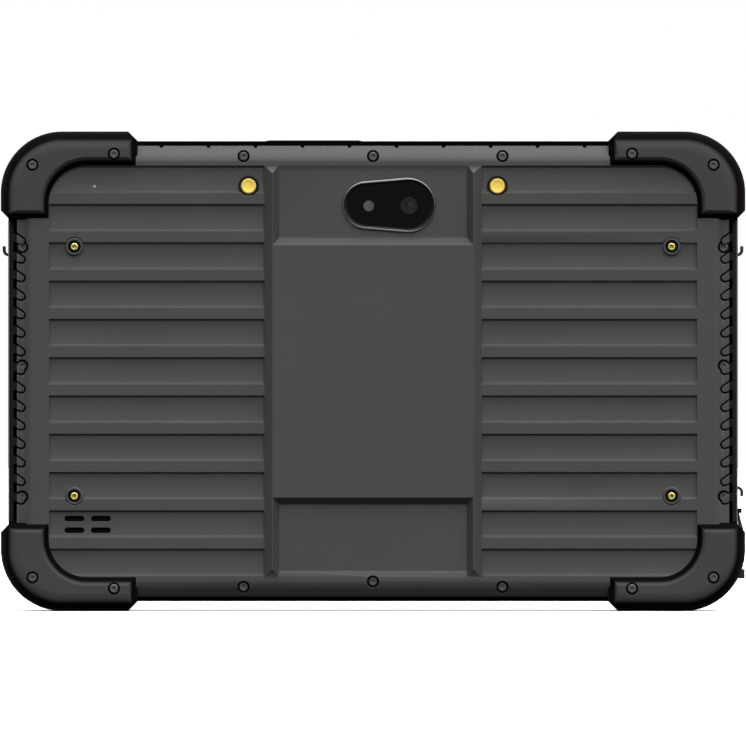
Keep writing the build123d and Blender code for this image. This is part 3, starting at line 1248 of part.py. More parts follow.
# ================================================================ write every piece
def main():
    os.makedirs("parts", exist_ok=True)
    publish("rear_cover", rear_cover())
    publish("body_seal", body_seal())
    publish("front_frame", front_frame())
    publish("mid_plate", mid_plate())
    publish("cover_glass", cover_glass())
    publish("glass_adhesive", glass_adhesive())
    publish("display_panel", display_panel())
    publish("front_camera", front_camera())
    publish("status_lights", status_lights())
    for tier_name, tier in TIERS:
        for side_name, side in SIDES:
            publish(f"bumper_{tier_name}_{side_name}", bumper(side, tier))
    publish("cover_screws", cover_screws())
    publish("bumper_screws", bumper_screws())
    publish("mount_inserts", mount_inserts())
    publish("contact_rings", contact_rings())
    publish("contact_discs", contact_discs())
    publish("camera_bezel", camera_bezel())
    publish("camera_glass", camera_glass())
    publish("camera_module", camera_module())
    publish("camera_lens", camera_lens())
    publish("camera_flash", camera_flash())
    publish("speaker", speaker())
    publish("speaker_mesh", speaker_mesh())
    publish("microphone", microphone())
    for side_name, side in SIDES:
        publish(f"grip_rail_{side_name}", grip_rail(side))
    publish("main_board", main_board())
    publish("shield_cans", shield_cans())
    publish("io_board", io_board())
    publish("battery_pack", battery_pack())
    publish("vibration_motor", vibration_motor())
    publish("gps_antenna", gps_antenna())
    for port in PORTS:
        publish(port["name"], port_shell(port))
    publish("dc_jack", dc_jack())
    for door in DOORS:
        publish(door["name"], door_cover(door))
    publish("dc_cover", dc_cover())
    publish("key_strip", key_strip())
    for name, span in KEY_SPANS.items():
        publish(name, key(span))
    publish("key_switches", key_switches())
    publish("key_board", key_board())
    publish("dock_connector", dock_connector())
    publish("dock_pins", dock_pins())


main()
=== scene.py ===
# %% [markdown]
# # A rugged field data collector, dressed for its picture
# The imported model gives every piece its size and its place, so the first step is to load it.
# Nothing below measures anything else: a new piece takes its place from the box of the node that
# it stands for. The box of the whole model is kept, because the finished looks must stay inside it.

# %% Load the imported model
import json
import math
from contextlib import contextmanager

import bmesh
import bpy
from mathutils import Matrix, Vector


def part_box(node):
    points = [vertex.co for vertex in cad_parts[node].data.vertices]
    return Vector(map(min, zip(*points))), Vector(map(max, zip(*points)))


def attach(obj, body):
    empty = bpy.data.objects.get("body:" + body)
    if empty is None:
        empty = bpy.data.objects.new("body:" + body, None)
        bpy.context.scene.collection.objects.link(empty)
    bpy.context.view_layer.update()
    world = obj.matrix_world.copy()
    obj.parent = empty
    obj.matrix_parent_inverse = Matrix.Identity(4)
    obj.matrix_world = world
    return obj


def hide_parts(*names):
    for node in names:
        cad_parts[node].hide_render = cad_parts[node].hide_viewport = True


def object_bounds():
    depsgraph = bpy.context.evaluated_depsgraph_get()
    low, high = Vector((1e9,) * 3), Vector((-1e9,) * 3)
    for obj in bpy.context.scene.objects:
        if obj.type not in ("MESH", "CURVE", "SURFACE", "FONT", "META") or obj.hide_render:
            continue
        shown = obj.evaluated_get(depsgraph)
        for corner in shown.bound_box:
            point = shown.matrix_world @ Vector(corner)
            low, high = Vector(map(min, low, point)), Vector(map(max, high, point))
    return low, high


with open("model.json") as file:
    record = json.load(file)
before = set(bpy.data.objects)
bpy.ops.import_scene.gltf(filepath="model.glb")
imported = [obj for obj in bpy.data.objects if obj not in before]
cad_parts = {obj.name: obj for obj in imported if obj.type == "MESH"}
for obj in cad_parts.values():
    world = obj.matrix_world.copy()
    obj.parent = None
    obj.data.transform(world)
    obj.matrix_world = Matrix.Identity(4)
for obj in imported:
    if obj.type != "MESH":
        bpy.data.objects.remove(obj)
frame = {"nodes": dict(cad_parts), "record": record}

cad_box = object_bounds()
print("packed nodes:", len(frame["nodes"]), "box:", [tuple(corner) for corner in cad_box])

# %% [markdown]
# ## Working in millimetres about the middle of the tablet
# A tablet is drawn about its centre, so the sizes below are millimetres from the centre of its back:
# x to the right when the back is faced, y into the tablet, z up. One function turns them into the
# frame's metres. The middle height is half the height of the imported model.

# %% Places
MM = 0.001
MIDDLE = (cad_box[0].z + cad_box[1].z) / 2


def at(x, y, z):
    """A point given in millimetres from the middle of the tablet, in the frame's metres."""
    return Vector((x * MM, y * MM, z * MM + MIDDLE))


def span(node):
    """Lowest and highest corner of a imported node, in millimetres from the middle."""
    low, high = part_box(node)
    lift = Vector((0, 0, MIDDLE))
    return (low - lift) / MM, (high - lift) / MM


cover_box = [tuple(round(value, 2) for value in corner) for corner in span("rear_cover")]
print("middle height", round(MIDDLE / MM, 2), "mm; cover", cover_box)

# %% [markdown]
# ## Camera
# The tablet is seen straight on from the back, with no visible perspective. A very long lens from
# four metres gives that, and its focal length follows from the width that has to fill the frame.

# %% Camera
VIEW_WIDTH = 236.1 * MM
CAMERA_DISTANCE = 4.0
camera_data = bpy.data.cameras.new("long_lens")
camera_data.sensor_width = 36.0
camera_data.lens = 36.0 * CAMERA_DISTANCE / VIEW_WIDTH
camera_data.clip_start = 0.05
camera_data.clip_end = 50.0
camera = bpy.data.objects.new("camera", camera_data)
bpy.context.scene.collection.objects.link(camera)
camera.location = at(0, 0, -0.4) + Vector((0, -CAMERA_DISTANCE + cad_box[0].y, 0))
camera.rotation_euler = (math.radians(90), 0, 0)
bpy.context.scene.camera = camera
bpy.context.scene.view_settings.view_transform = "Standard"
print("lens", round(camera_data.lens), "mm")

# %% [markdown]
# ## Adding a node
# Every finish below is a small tree of nodes. One function adds a node with its settings, which are
# either properties or the values of its inputs, and with its links. A second one turns a colour as
# a painter writes it, an sRGB hex value, into the linear numbers that the shader wants.

# %% Node and colour helpers


def add(tree, kind, settings=None, links=None):
    """Add a node; settings name a property or an input, links join an input to an output."""
    node = tree.nodes.new(kind)
    for name, value in (settings or {}).items():
        if isinstance(name, int) or name in node.inputs:
            node.inputs[name].default_value = value
        else:
            setattr(node, name, value)
    for name, output in (links or {}).items():
        tree.links.new(output, node.inputs[name])
    return node


def colour(hex_value):
    """Linear RGBA of an sRGB hex colour such as '4c4c4b'."""
    parts = [int(hex_value[i:i + 2], 16) / 255 for i in (0, 2, 4)]
    linear = [p / 12.92 if p <= 0.04045 else ((p + 0.055) / 1.055) ** 2.4 for p in parts]
    return (*linear, 1.0)


def new_tree(name):
    """An empty material tree with its output node."""
    material = bpy.data.materials.new(name)
    material.use_nodes = True
    material.node_tree.nodes.clear()
    output = add(material.node_tree, "ShaderNodeOutputMaterial")
    return material, material.node_tree, output


# %% [markdown]
# ## Light
# Dark plastic shows its shape by what it reflects. One broad soft box hangs above and before the
# tablet, a little to the right, so faces tilted up are bright and faces tilted down are dark. The
# room itself is dim, which keeps black rubber black. Two upright strips of light stand beside and
# behind the tablet, and only its rounded sides pick them up, as a thin rim. All three are painted on
# the world by direction: the closer a direction is to a light's middle, the brighter it is. The
# camera itself sees plain white.

# %% Studio painted on the world
world = bpy.data.worlds.new("studio")
bpy.context.scene.world = world
world.use_nodes = True
studio = world.node_tree
studio.nodes.clear()
direction = add(studio, "ShaderNodeTexCoord").outputs["Generated"]
ROOM_LEVEL = 0.13


def soft_light(level, towards, edge, core):
    """Light round a direction: full level inside the core, none past the edge (cosines of the angles)."""
    aim = Vector(towards).normalized()
    nearness = add(studio, "ShaderNodeVectorMath", {"operation": "DOT_PRODUCT", 1: aim}, {0: direction})
    return add(studio, "ShaderNodeMapRange", {"interpolation_type": "SMOOTHSTEP", "From Min": edge,
               "From Max": core, "To Min": 0.0, "To Max": level}, {0: nearness.outputs["Value"]}).outputs[0]


lights = [
    soft_light(5.3, (0.15, -0.50, 0.85), 0.52, 0.88),
    soft_light(1.7, (-0.86, 0.50, 0.0), 0.62, 0.95),
    soft_light(1.4, (0.86, 0.50, 0.0), 0.62, 0.95),
]
total = add(studio, "ShaderNodeMath", {"operation": "ADD", 1: ROOM_LEVEL}, {0: lights[0]}).outputs[0]
for light in lights[1:]:
    total = add(studio, "ShaderNodeMath", {"operation": "ADD"}, {0: light, 1: total}).outputs[0]
seen_by_camera = add(studio, "ShaderNodeLightPath").outputs["Is Camera Ray"]
painted = add(studio, "ShaderNodeBackground", {"Strength": 1.0}, {"Color": total})
plain = add(studio, "ShaderNodeBackground", {"Color": (1, 1, 1, 1), "Strength": 1.0})
mixed = add(studio, "ShaderNodeMixShader",
            links={0: seen_by_camera, 1: painted.outputs[0], 2: plain.outputs[0]})
add(studio, "ShaderNodeOutputWorld", links={"Surface": mixed.outputs[0]})
print("lights painted:", len(lights), "in a room of", ROOM_LEVEL)

# %% [markdown]
# The screen side would be black in such a tent, so one broad panel lights it. The floor is a plain
# pale sheet that takes soft shadows; it is a stage piece and sends no light back up.

# %% Screen-side panel and floor
panel = bpy.data.lights.new("screen_side_panel", "AREA")
panel.shape = "RECTANGLE"
panel.size = 1.6
panel.size_y = 1.2
panel.energy = 14.0
panel_object = bpy.data.objects.new("screen_side_panel", panel)
bpy.context.scene.collection.objects.link(panel_object)
panel_object.location = (0.3, 1.6, 1.2)
towards_tablet = at(0, 0, 0) - panel_object.location
panel_object.rotation_euler = towards_tablet.to_track_quat("-Z", "Y").to_euler()

bpy.ops.object.select_all(action="DESELECT")
bpy.ops.mesh.primitive_plane_add(size=12.0, location=(0, 0, cad_box[0].z - 0.00005))
floor = bpy.context.active_object
floor.name = "floor"
paper, paper_tree, paper_output = new_tree("matte_backdrop_paper")
fibre = add(paper_tree, "ShaderNodeTexNoise", {"Scale": 900.0, "Detail": 2.0},
            {"Vector": add(paper_tree, "ShaderNodeTexCoord").outputs["Object"]})
tone = add(paper_tree, "ShaderNodeMixRGB", {"Color1": colour("f4f4f4"), "Color2": colour("fbfbfb")},
           {0: fibre.outputs["Fac"]})
sheet = add(paper_tree, "ShaderNodeBsdfPrincipled", {"Roughness": 0.9, "Specular IOR Level": 0.0},
            {"Base Color": tone.outputs[0]})
paper_tree.links.new(sheet.outputs[0], paper_output.inputs[0])
floor.data.materials.append(paper)
floor.visible_diffuse = False
floor.visible_glossy = False
print("floor at", round(floor.location.z, 5))

# %% [markdown]
# ## Mould-grained plastics and rubbers
# Most of this tablet is moulded. The steel of a mould is spark-eroded or etched, and the part copies
# that fine grain, which turns a sharp reflection into a soft sheen. Each moulded finish is the same
# tree with its own numbers: a cloudy tone, a grain for bump and gloss, and handling that polishes
# edges a little lighter. Edges are found by comparing the rounded normal with the true one.

# %% Moulded finish


def moulded(name, dark, light, worn, gloss, grain, relief, edge=0.35, shine=0.3):
    """Moulded skin: two cloudy tones, a worn tone for edges, roughness, grain size and depth in mm."""
    material, tree, output = new_tree(name)
    place = add(tree, "ShaderNodeTexCoord").outputs["Object"]
    cloud = add(tree, "ShaderNodeTexNoise", {"Scale": 1 / (28 * MM), "Detail": 3.0}, {"Vector": place})
    pits = add(tree, "ShaderNodeTexNoise", {"Scale": 1 / (grain * MM), "Detail": 2.0, "Roughness": 0.6},
               {"Vector": place})
    scuffs = add(tree, "ShaderNodeTexNoise", {"Scale": 1 / (6 * MM), "Detail": 4.0}, {"Vector": place})
    tone = add(tree, "ShaderNodeMixRGB", {"Color1": colour(dark), "Color2": colour(light)},
               {0: cloud.outputs["Fac"]})
    rounded = add(tree, "ShaderNodeBevel", {"samples": 4, "Radius": edge * MM})
    true_normal = add(tree, "ShaderNodeNewGeometry").outputs["Normal"]
    along = add(tree, "ShaderNodeVectorMath", {"operation": "DOT_PRODUCT"},
                {0: rounded.outputs[0], 1: true_normal})
    at_edge = add(tree, "ShaderNodeMapRange", {"From Min": 0.97, "From Max": 0.80, "To Max": 0.55},
                  {0: along.outputs["Value"]})
    rubbed = add(tree, "ShaderNodeMath", {"operation": "MULTIPLY"},
                 {0: at_edge.outputs[0], 1: scuffs.outputs["Fac"]})
    skin = add(tree, "ShaderNodeMixRGB", {"Color2": colour(worn)}, {0: rubbed.outputs[0], 1: tone.outputs[0]})
    sheen = add(tree, "ShaderNodeMapRange", {"To Min": gloss - 0.05, "To Max": gloss + 0.05},
                {0: pits.outputs["Fac"]})
    bump = add(tree, "ShaderNodeBump", {"Strength": 1.0, "Distance": relief * MM},
               {"Height": pits.outputs["Fac"], "Normal": rounded.outputs[0]})
    shader = add(tree, "ShaderNodeBsdfPrincipled", {"IOR": 1.5, "Specular IOR Level": shine},
                 {"Base Color": skin.outputs[0], "Roughness": sheen.outputs[0], "Normal": bump.outputs[0]})
    tree.links.new(shader.outputs[0], output.inputs[0])
    return material


# PC/ABS with a fine spark-eroded grain: an even grey with a soft sheen.
COVER_PLASTIC = moulded("moulded_pc_abs_grey", "2b2b2a", "313130", "525252", 0.5, 0.45, 0.012)
# TPU over PC on the corners.
BUMPER_RUBBER = moulded("moulded_tpu_corner", "313131", "373737", "3c3c3c", 0.75, 0.5, 0.012, edge=0.4,
                        shine=0.03)
# The same TPU on the grip rails.
GRIP_RUBBER = moulded("moulded_tpu_grip", "161616", "1c1c1c", "303030", 0.5, 0.45, 0.012, edge=0.3,
                      shine=0.35)
# Glass-filled PC of the front frame, almost black.
FRAME_PLASTIC = moulded("moulded_pc_black", "020202", "040404", "0c0c0c", 0.7, 0.4, 0.01, shine=0.01)
# Silicone port covers: olive-grey, dry to the touch.
COVER_SILICONE = moulded("moulded_silicone_olive", "1e1e18", "27271f", "38382e", 0.6, 0.4, 0.015, edge=0.25,
                         shine=0.2)
# Silicone key strip, gasket and contact seals: black. The same black is also painted shade in the cover's
# wells, slots and grooves, on the rails' backs, round the screw heads and on the camera surround's inner
# slope.
BLACK_SILICONE_AND_SHADE = moulded("moulded_silicone_black_and_painted_shade", "040405", "070709", "141417", 0.5, 0.4, 0.01, edge=0.2,
                        shine=0.12)
# Key caps, black PC with a satin touch.
KEY_PLASTIC = moulded("moulded_pc_key", "0e0e0e", "131313", "2a2a2a", 0.5, 0.35, 0.008, edge=0.2, shine=0.1)
print("moulded finishes:", [m.name for m in bpy.data.materials if m.name.startswith("moulded")])

# %% [markdown]
# The corners need one more thing: painted shade. Their outsides and slopes are painted near black,
# while the flat backs, on which the tablet is laid down, keep the grey rubber tone. The painted shade
# depends on the depth, with a slight noisy wobble: none up to 0.45 mm behind the flat back, full past
# 1.25 mm.

# %% Painted shade on the corners' outsides
UNSHADED_DEPTH = 0.45 * MM
PAINTED_SHADE_DEPTH = 1.25 * MM
tree = BUMPER_RUBBER.node_tree
shader = next(node for node in tree.nodes if node.type == "BSDF_PRINCIPLED")
unshaded_tone = shader.inputs["Base Color"].links[0].from_socket
place = add(tree, "ShaderNodeTexCoord").outputs["Object"]
axes = add(tree, "ShaderNodeSeparateXYZ", links={0: place})
shade_noise = add(tree, "ShaderNodeTexNoise", {"Scale": 1 / (9 * MM), "Detail": 3.0}, {"Vector": place})
shade_wobble = add(tree, "ShaderNodeMapRange", {"To Min": -0.06 * MM, "To Max": 0.06 * MM},
             {0: shade_noise.outputs["Fac"]})
shade_reach = add(tree, "ShaderNodeMath", {"operation": "ADD"}, {0: axes.outputs["Y"], 1: shade_wobble.outputs[0]})
unshaded_share = add(tree, "ShaderNodeMapRange",
              {"From Min": cad_box[0].y + PAINTED_SHADE_DEPTH, "From Max": cad_box[0].y + UNSHADED_DEPTH},
              {0: shade_reach.outputs[0]})
# Painted shade: near black 020202 replaces the rubber tone deeper than the flat back.
painted_shade_or_tone = add(tree, "ShaderNodeMixRGB", {"Color1": colour("020202")},
                      {0: unshaded_share.outputs[0], 2: unshaded_tone})
tree.links.new(painted_shade_or_tone.outputs[0], shader.inputs["Base Color"])
# Prints the depth at which the painted shade is full.
print("unshaded_skin reaches", PAINTED_SHADE_DEPTH / MM, "mm into the corners")

# %% [markdown]
# ## Metals
# Machined, plated and stamped metals differ in how their last step left the surface. A turned face
# has rings, a stamped sheet is drawn along one way, black oxide is a thin dark skin with bright
# metal where a driver has rubbed it. Metals keep the shader's own index of refraction.

# %% Metal finishes


def worked_metal(name, dull, bright, roughness, stretch, relief, edge=0.15, metallic=1.0):
    """Metal with marks drawn out along one axis: stretch is the mark's size in mm along x, y and z."""
    material, tree, output = new_tree(name)
    place = add(tree, "ShaderNodeTexCoord").outputs["Object"]
    drawn = add(tree, "ShaderNodeMapping", {"Scale": [1 / (size * MM) for size in stretch]},
                {"Vector": place})
    marks = add(tree, "ShaderNodeTexNoise", {"Scale": 1.0, "Detail": 3.0}, {"Vector": drawn.outputs[0]})
    tone = add(tree, "ShaderNodeMixRGB", {"Color1": colour(dull), "Color2": colour(bright)},
               {0: marks.outputs["Fac"]})
    rounded = add(tree, "ShaderNodeBevel", {"samples": 4, "Radius": edge * MM})
    sheen = add(tree, "ShaderNodeMapRange", {"To Min": roughness - 0.08, "To Max": roughness + 0.08},
                {0: marks.outputs["Fac"]})
    bump = add(tree, "ShaderNodeBump", {"Strength": 1.0, "Distance": relief * MM},
               {"Height": marks.outputs["Fac"], "Normal": rounded.outputs[0]})
    shader = add(tree, "ShaderNodeBsdfPrincipled", {"Metallic": metallic},
                 {"Base Color": tone.outputs[0], "Roughness": sheen.outputs[0], "Normal": bump.outputs[0]})
    tree.links.new(shader.outputs[0], output.inputs[0])
    return material


# Black-oxide steel of the screws.
SCREW_STEEL = worked_metal("black_oxide_steel", "444444", "585858", 0.5, (0.25, 0.25, 0.25), 0.01,
                           metallic=0.9)
# Turned brass of the mount inserts.
TURNED_BRASS = worked_metal("turned_brass", "e8d468", "f8f0a8", 0.38, (0.6, 0.1, 0.6), 0.006, edge=0.1,
                            metallic=0.8)
# Hard gold plate of the contacts.
GOLD_PLATE = worked_metal("gold_plated_copper", "c6a848", "dec460", 0.5, (0.5, 0.5, 0.5), 0.006, edge=0.1,
                          metallic=0.78)
# Dark anodised aluminium of the camera bezel.
ANODISED_BEZEL = worked_metal("anodised_aluminium_dark", "6a6a6c", "7c7c7e", 0.4, (0.3, 0.3, 0.3), 0.008,
                              edge=0.2, metallic=0.9)
# Cast magnesium plate inside.
CAST_PLATE = worked_metal("cast_magnesium", "8c8c88", "a4a4a0", 0.5, (0.8, 0.8, 0.8), 0.03)
# Tinned steel of cans, switches and port shells.
TINNED_STEEL = worked_metal("stamped_tinned_steel", "a8a8a4", "c6c6c2", 0.32, (4.0, 0.3, 0.3), 0.01)
print("metal finishes: 6")

# %% [markdown]
# ## Glass with its print
# Both windows are black glass: the colour is a print on the inner face, so the outside stays a clean
# gloss. The camera window leaves two round holes in the print, one for the lens and one for the flash.
# The print is a distance from those two centres, so it stays with the piece at every angle.

# %% Camera window and front glass
LENS_PLACE = (11.4, 52.5)
FLASH_PLACE = (-1.3, 52.4)
LENS_CLEAR = 2.75
FLASH_CLEAR = 1.7
PRINT_EDGE = 0.05

CAMERA_WINDOW, tree, output = new_tree("printed_camera_glass")
place = add(tree, "ShaderNodeTexCoord").outputs["Object"]
clear = None
for (x, z), radius in ((LENS_PLACE, LENS_CLEAR), (FLASH_PLACE, FLASH_CLEAR)):
    flat = add(tree, "ShaderNodeVectorMath", {"operation": "MULTIPLY", 1: (1, 0, 1)}, {0: place})
    centre = at(x, 0, z)
    away = add(tree, "ShaderNodeVectorMath", {"operation": "DISTANCE", 1: centre}, {0: flat.outputs[0]})
    hole = add(tree, "ShaderNodeMapRange",
               {"From Min": (radius + PRINT_EDGE) * MM, "From Max": (radius - PRINT_EDGE) * MM},
               {0: away.outputs["Value"]})
    clear = hole if clear is None else add(tree, "ShaderNodeMath", {"operation": "MAXIMUM"},
                                           {0: clear.outputs[0], 1: hole.outputs[0]})
dust = add(tree, "ShaderNodeTexNoise", {"Scale": 1 / (3 * MM), "Detail": 4.0}, {"Vector": place})
wiped = add(tree, "ShaderNodeMapRange", {"To Min": 0.04, "To Max": 0.12}, {0: dust.outputs["Fac"]})
print_layer = add(tree, "ShaderNodeBsdfPrincipled", {"Base Color": colour("050506"), "IOR": 1.52,
                  "Specular IOR Level": 0.3}, {"Roughness": wiped.outputs[0]})
clear_glass = add(tree, "ShaderNodeBsdfPrincipled", {"Base Color": colour("c4c8c4"), "IOR": 1.52,
                  "Transmission Weight": 1.0}, {"Roughness": wiped.outputs[0]})
pane = add(tree, "ShaderNodeMixShader",
           links={0: clear.outputs[0], 1: print_layer.outputs[0], 2: clear_glass.outputs[0]})
tree.links.new(pane.outputs[0], output.inputs[0])

# The front glass: gloss black, with the screen's own slightly greyer rectangle behind it.
SCREEN_BORDER = 3
screen_high = span("display_panel")[1]
FRONT_GLASS, tree, output = new_tree("hardened_front_glass")
place = add(tree, "ShaderNodeTexCoord").outputs["Object"]
axes = add(tree, "ShaderNodeSeparateXYZ", links={0: place})
across = add(tree, "ShaderNodeMath", {"operation": "ABSOLUTE"}, {0: axes.outputs["X"]})
from_middle = add(tree, "ShaderNodeMath", {"operation": "SUBTRACT", 1: MIDDLE}, {0: axes.outputs["Z"]})
up = add(tree, "ShaderNodeMath", {"operation": "ABSOLUTE"}, {0: from_middle.outputs[0]})
half_wide = screen_high.x - SCREEN_BORDER
half_tall = screen_high.z - SCREEN_BORDER
inside = []
for half, distance in ((half_wide, across), (half_tall, up)):
    limit = {"operation": "LESS_THAN", 1: half * MM}
    inside.append(add(tree, "ShaderNodeMath", limit, {0: distance.outputs[0]}).outputs[0])
lit_area = add(tree, "ShaderNodeMath", {"operation": "MULTIPLY"}, {0: inside[0], 1: inside[1]})
grid = add(tree, "ShaderNodeTexNoise", {"Scale": 1 / (1.2 * MM), "Detail": 1.0}, {"Vector": place})
cell = add(tree, "ShaderNodeMixRGB", {"Color1": colour("15171a"), "Color2": colour("1c1e22")},
           {0: grid.outputs["Fac"]})
tone = add(tree, "ShaderNodeMixRGB", {"Color1": colour("050506")},
           {0: lit_area.outputs[0], 2: cell.outputs[0]})
smear = add(tree, "ShaderNodeTexNoise", {"Scale": 1 / (35 * MM), "Detail": 5.0, "Distortion": 0.6},
            {"Vector": place})
wiped = add(tree, "ShaderNodeMapRange", {"From Min": 0.35, "From Max": 0.7, "To Min": 0.06, "To Max": 0.17},
            {0: smear.outputs["Fac"]})
rounded = add(tree, "ShaderNodeBevel", {"samples": 4, "Radius": 0.3 * MM})
glass = add(tree, "ShaderNodeBsdfPrincipled", {"IOR": 1.51},
            {"Base Color": tone.outputs[0], "Roughness": wiped.outputs[0], "Normal": rounded.outputs[0]})
tree.links.new(glass.outputs[0], output.inputs[0])
print("screen area", round(2 * half_wide), "by", round(2 * half_tall), "mm")

# %% [markdown]
# ## The rest of the finishes
# What lies under the cover is seldom seen, but each piece still gets what it is made of: solder mask
# over a woven board, wrapped cells, sintered ceramic, foam tape, a woven mesh over the speaker,
# a dimpled flash lens and black lens barrels.

# %% Small finishes


def small_finish(name, first, second, roughness, pattern, size, relief, **shader_values):
    """Finish with one pattern: 'grain' or 'cells' of a size in mm, for tone, gloss and bump."""
    material, tree, output = new_tree(name)
    place = add(tree, "ShaderNodeTexCoord").outputs["Object"]
    if pattern == "cells":
        texture = add(tree, "ShaderNodeTexVoronoi", {"Scale": 1 / (size * MM)}, {"Vector": place})
        height = texture.outputs["Distance"]
    else:
        texture = add(tree, "ShaderNodeTexNoise", {"Scale": 1 / (size * MM), "Detail": 3.0},
                      {"Vector": place})
        height = texture.outputs["Fac"]
    tone = add(tree, "ShaderNodeMixRGB", {"Color1": colour(first), "Color2": colour(second)}, {0: height})
    sheen = add(tree, "ShaderNodeMapRange", {"To Min": roughness - 0.06, "To Max": roughness + 0.06},
                {0: height})
    bump = add(tree, "ShaderNodeBump", {"Strength": 1.0, "Distance": relief * MM}, {"Height": height})
    shader = add(tree, "ShaderNodeBsdfPrincipled", shader_values,
                 {"Base Color": tone.outputs[0], "Roughness": sheen.outputs[0], "Normal": bump.outputs[0]})
    tree.links.new(shader.outputs[0], output.inputs[0])
    return material


# Solder mask over glass weave.
SOLDER_MASK = small_finish("solder_mask_on_fr4", "0d3a20", "15502c", 0.35, "grain", 0.8, 0.01)
# Shrink film round the cells.
CELL_FILM = small_finish("shrink_film_black", "141416", "1e1e22", 0.32, "grain", 5.0, 0.05)
# Sintered ceramic of the antenna.
SINTERED_CERAMIC = small_finish("sintered_ceramic", "b49a74", "ccb48e", 0.6, "grain", 0.5, 0.02)
# Foam tape under the glass.
FOAM_TAPE = small_finish("foam_tape_black", "0a0a0a", "161616", 0.85, "cells", 0.4, 0.04)
# Woven mesh over the speaker, thread spacing 0.25 mm, drawn at 0.4 mm so that it shows.
WOVEN_MESH = small_finish("woven_mesh_black", "030303", "0a0a0a", 0.8, "cells", 0.4, 0.08,
                          **{"Specular IOR Level": 0.05})
# Dimpled polycarbonate of the flash lens, over a yellow-white light.
FLASH_LENS = small_finish("dimpled_flash_lens", "5c5d56", "84857c", 0.3, "cells", 0.55, 0.08, IOR=1.58)
# Black anodised lens barrel.
LENS_BLACK = small_finish("anodised_lens_black", "020203", "08080a", 0.3, "grain", 0.3, 0.004,
                           **{"Specular IOR Level": 0.2})
# Black connector plastic.
PORT_PLASTIC = small_finish("moulded_lcp_black", "0c0c0c", "141414", 0.45, "grain", 0.3, 0.01)
# Clear polycarbonate light pipes.
LIGHT_PIPE = small_finish("clear_pc_light_pipe", "b8bcb8", "d4d8d4", 0.2, "grain", 0.8, 0.005, IOR=1.58)
print("finishes in all:", len(bpy.data.materials))

# %% [markdown]
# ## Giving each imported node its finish
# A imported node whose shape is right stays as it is. Only its finish changes: the record's slot of
# each node chooses the material.

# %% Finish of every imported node
FINISH_OF_SLOT = {
    "cover_plastic": COVER_PLASTIC, "frame_plastic": FRAME_PLASTIC, "bumper_rubber": BUMPER_RUBBER,
    "grip_rubber": GRIP_RUBBER, "cover_rubber": COVER_SILICONE, "seal_rubber": BLACK_SILICONE_AND_SHADE,
    "key_plastic": KEY_PLASTIC, "screw_steel": SCREW_STEEL, "brass": TURNED_BRASS, "gilt": GOLD_PLATE,
    "bezel_metal": ANODISED_BEZEL, "camera_pane": CAMERA_WINDOW, "lens_black": LENS_BLACK,
    "flash_lens": FLASH_LENS, "front_pane": FRONT_GLASS, "panel_metal": TINNED_STEEL,
    "plate_metal": CAST_PLATE, "board": SOLDER_MASK, "can_metal": TINNED_STEEL, "cell_wrap": CELL_FILM,
    "foam": FOAM_TAPE, "mesh": WOVEN_MESH, "ceramic": SINTERED_CERAMIC, "port_metal": TINNED_STEEL,
    "port_plastic": PORT_PLASTIC, "light_pipe": LIGHT_PIPE,
}
FINISH_OF_NODE = {"key_strip": BLACK_SILICONE_AND_SHADE}
slot_of = {part["node"]: part["material_slot"] for part in frame["record"]["subparts"]}
for name, node in frame["nodes"].items():
    node.data.materials.clear()
    node.data.materials.append(FINISH_OF_NODE.get(name, FINISH_OF_SLOT[slot_of[name]]))
print("nodes with a finish:", len(frame["nodes"]))

# %% [markdown]
# ## Working by hand, in code
# Each new piece below starts as a primitive of the right size in the right place, and is then shaped
# in edit mode, as it would be at the screen. A few helpers keep that short: they pick faces, edges or
# corners by their place, extrude along the depth, add a block or a rod, copy a piece, and carve one
# piece with others through an applied Boolean.

# %% Modelling helpers


def choose(piece):
    """Select one piece alone and make it active."""
    bpy.ops.object.select_all(action="DESELECT")
    piece.select_set(True)
    bpy.context.view_layer.objects.active = piece


@contextmanager
def editing(piece):
    """Edit mode on one piece alone."""
    choose(piece)
    bpy.ops.object.mode_set(mode="EDIT")
    yield
    bpy.ops.object.mode_set(mode="OBJECT")


def pick(mode, rule):
    """In edit mode, select only the VERTs, EDGEs or FACEs that meet the rule, and count them."""
    bpy.ops.mesh.select_mode(type=mode)
    bpy.ops.mesh.select_all(action="DESELECT")
    data = bpy.context.edit_object.data
    mesh = bmesh.from_edit_mesh(data)
    items = {"VERT": mesh.verts, "EDGE": mesh.edges, "FACE": mesh.faces}[mode]
    chosen = [item for item in items if rule(item)]
    for item in chosen:
        item.select_set(True)
    mesh.select_flush_mode()
    bmesh.update_edit_mesh(data)
    return len(chosen)


def push(y):
    """Extrude the selected faces along y, in mm."""
    bpy.ops.mesh.extrude_region_move(TRANSFORM_OT_translate={"value": (0, y * MM, 0)})


def depth(vertex):
    """How far a vertex is along y, in mm."""
    return vertex.co.y / MM


def faces_back(face, y):
    """True for a face that looks towards the back at depth y."""
    return face.normal.y < -0.99 and abs(face.calc_center_median().y / MM - y) < 0.01


def named(name):
    """The active object, with its place moved into its mesh, under a new name."""
    piece = bpy.context.active_object
    piece.name = name
    piece.data.name = name
    bpy.ops.object.transform_apply(location=True, rotation=True, scale=True)
    return piece


def block(name, x, y, z):
    """Box between (low, high) pairs in mm."""
    bpy.ops.object.select_all(action="DESELECT")
    middle = at(*[(low + high) / 2 for low, high in (x, y, z)])
    bpy.ops.mesh.primitive_cube_add(size=1, location=middle)
    bpy.context.active_object.scale = [(high - low) * MM for low, high in (x, y, z)]
    return named(name)


def rod(name, x, z, radius, y_low, y_high, sides=48):
    """Cylinder along y."""
    bpy.ops.object.select_all(action="DESELECT")
    bpy.ops.mesh.primitive_cylinder_add(vertices=sides, radius=radius * MM, depth=(y_high - y_low) * MM,
                                        location=at(x, (y_low + y_high) / 2, z),
                                        rotation=(math.radians(90), 0, 0))
    return named(name)


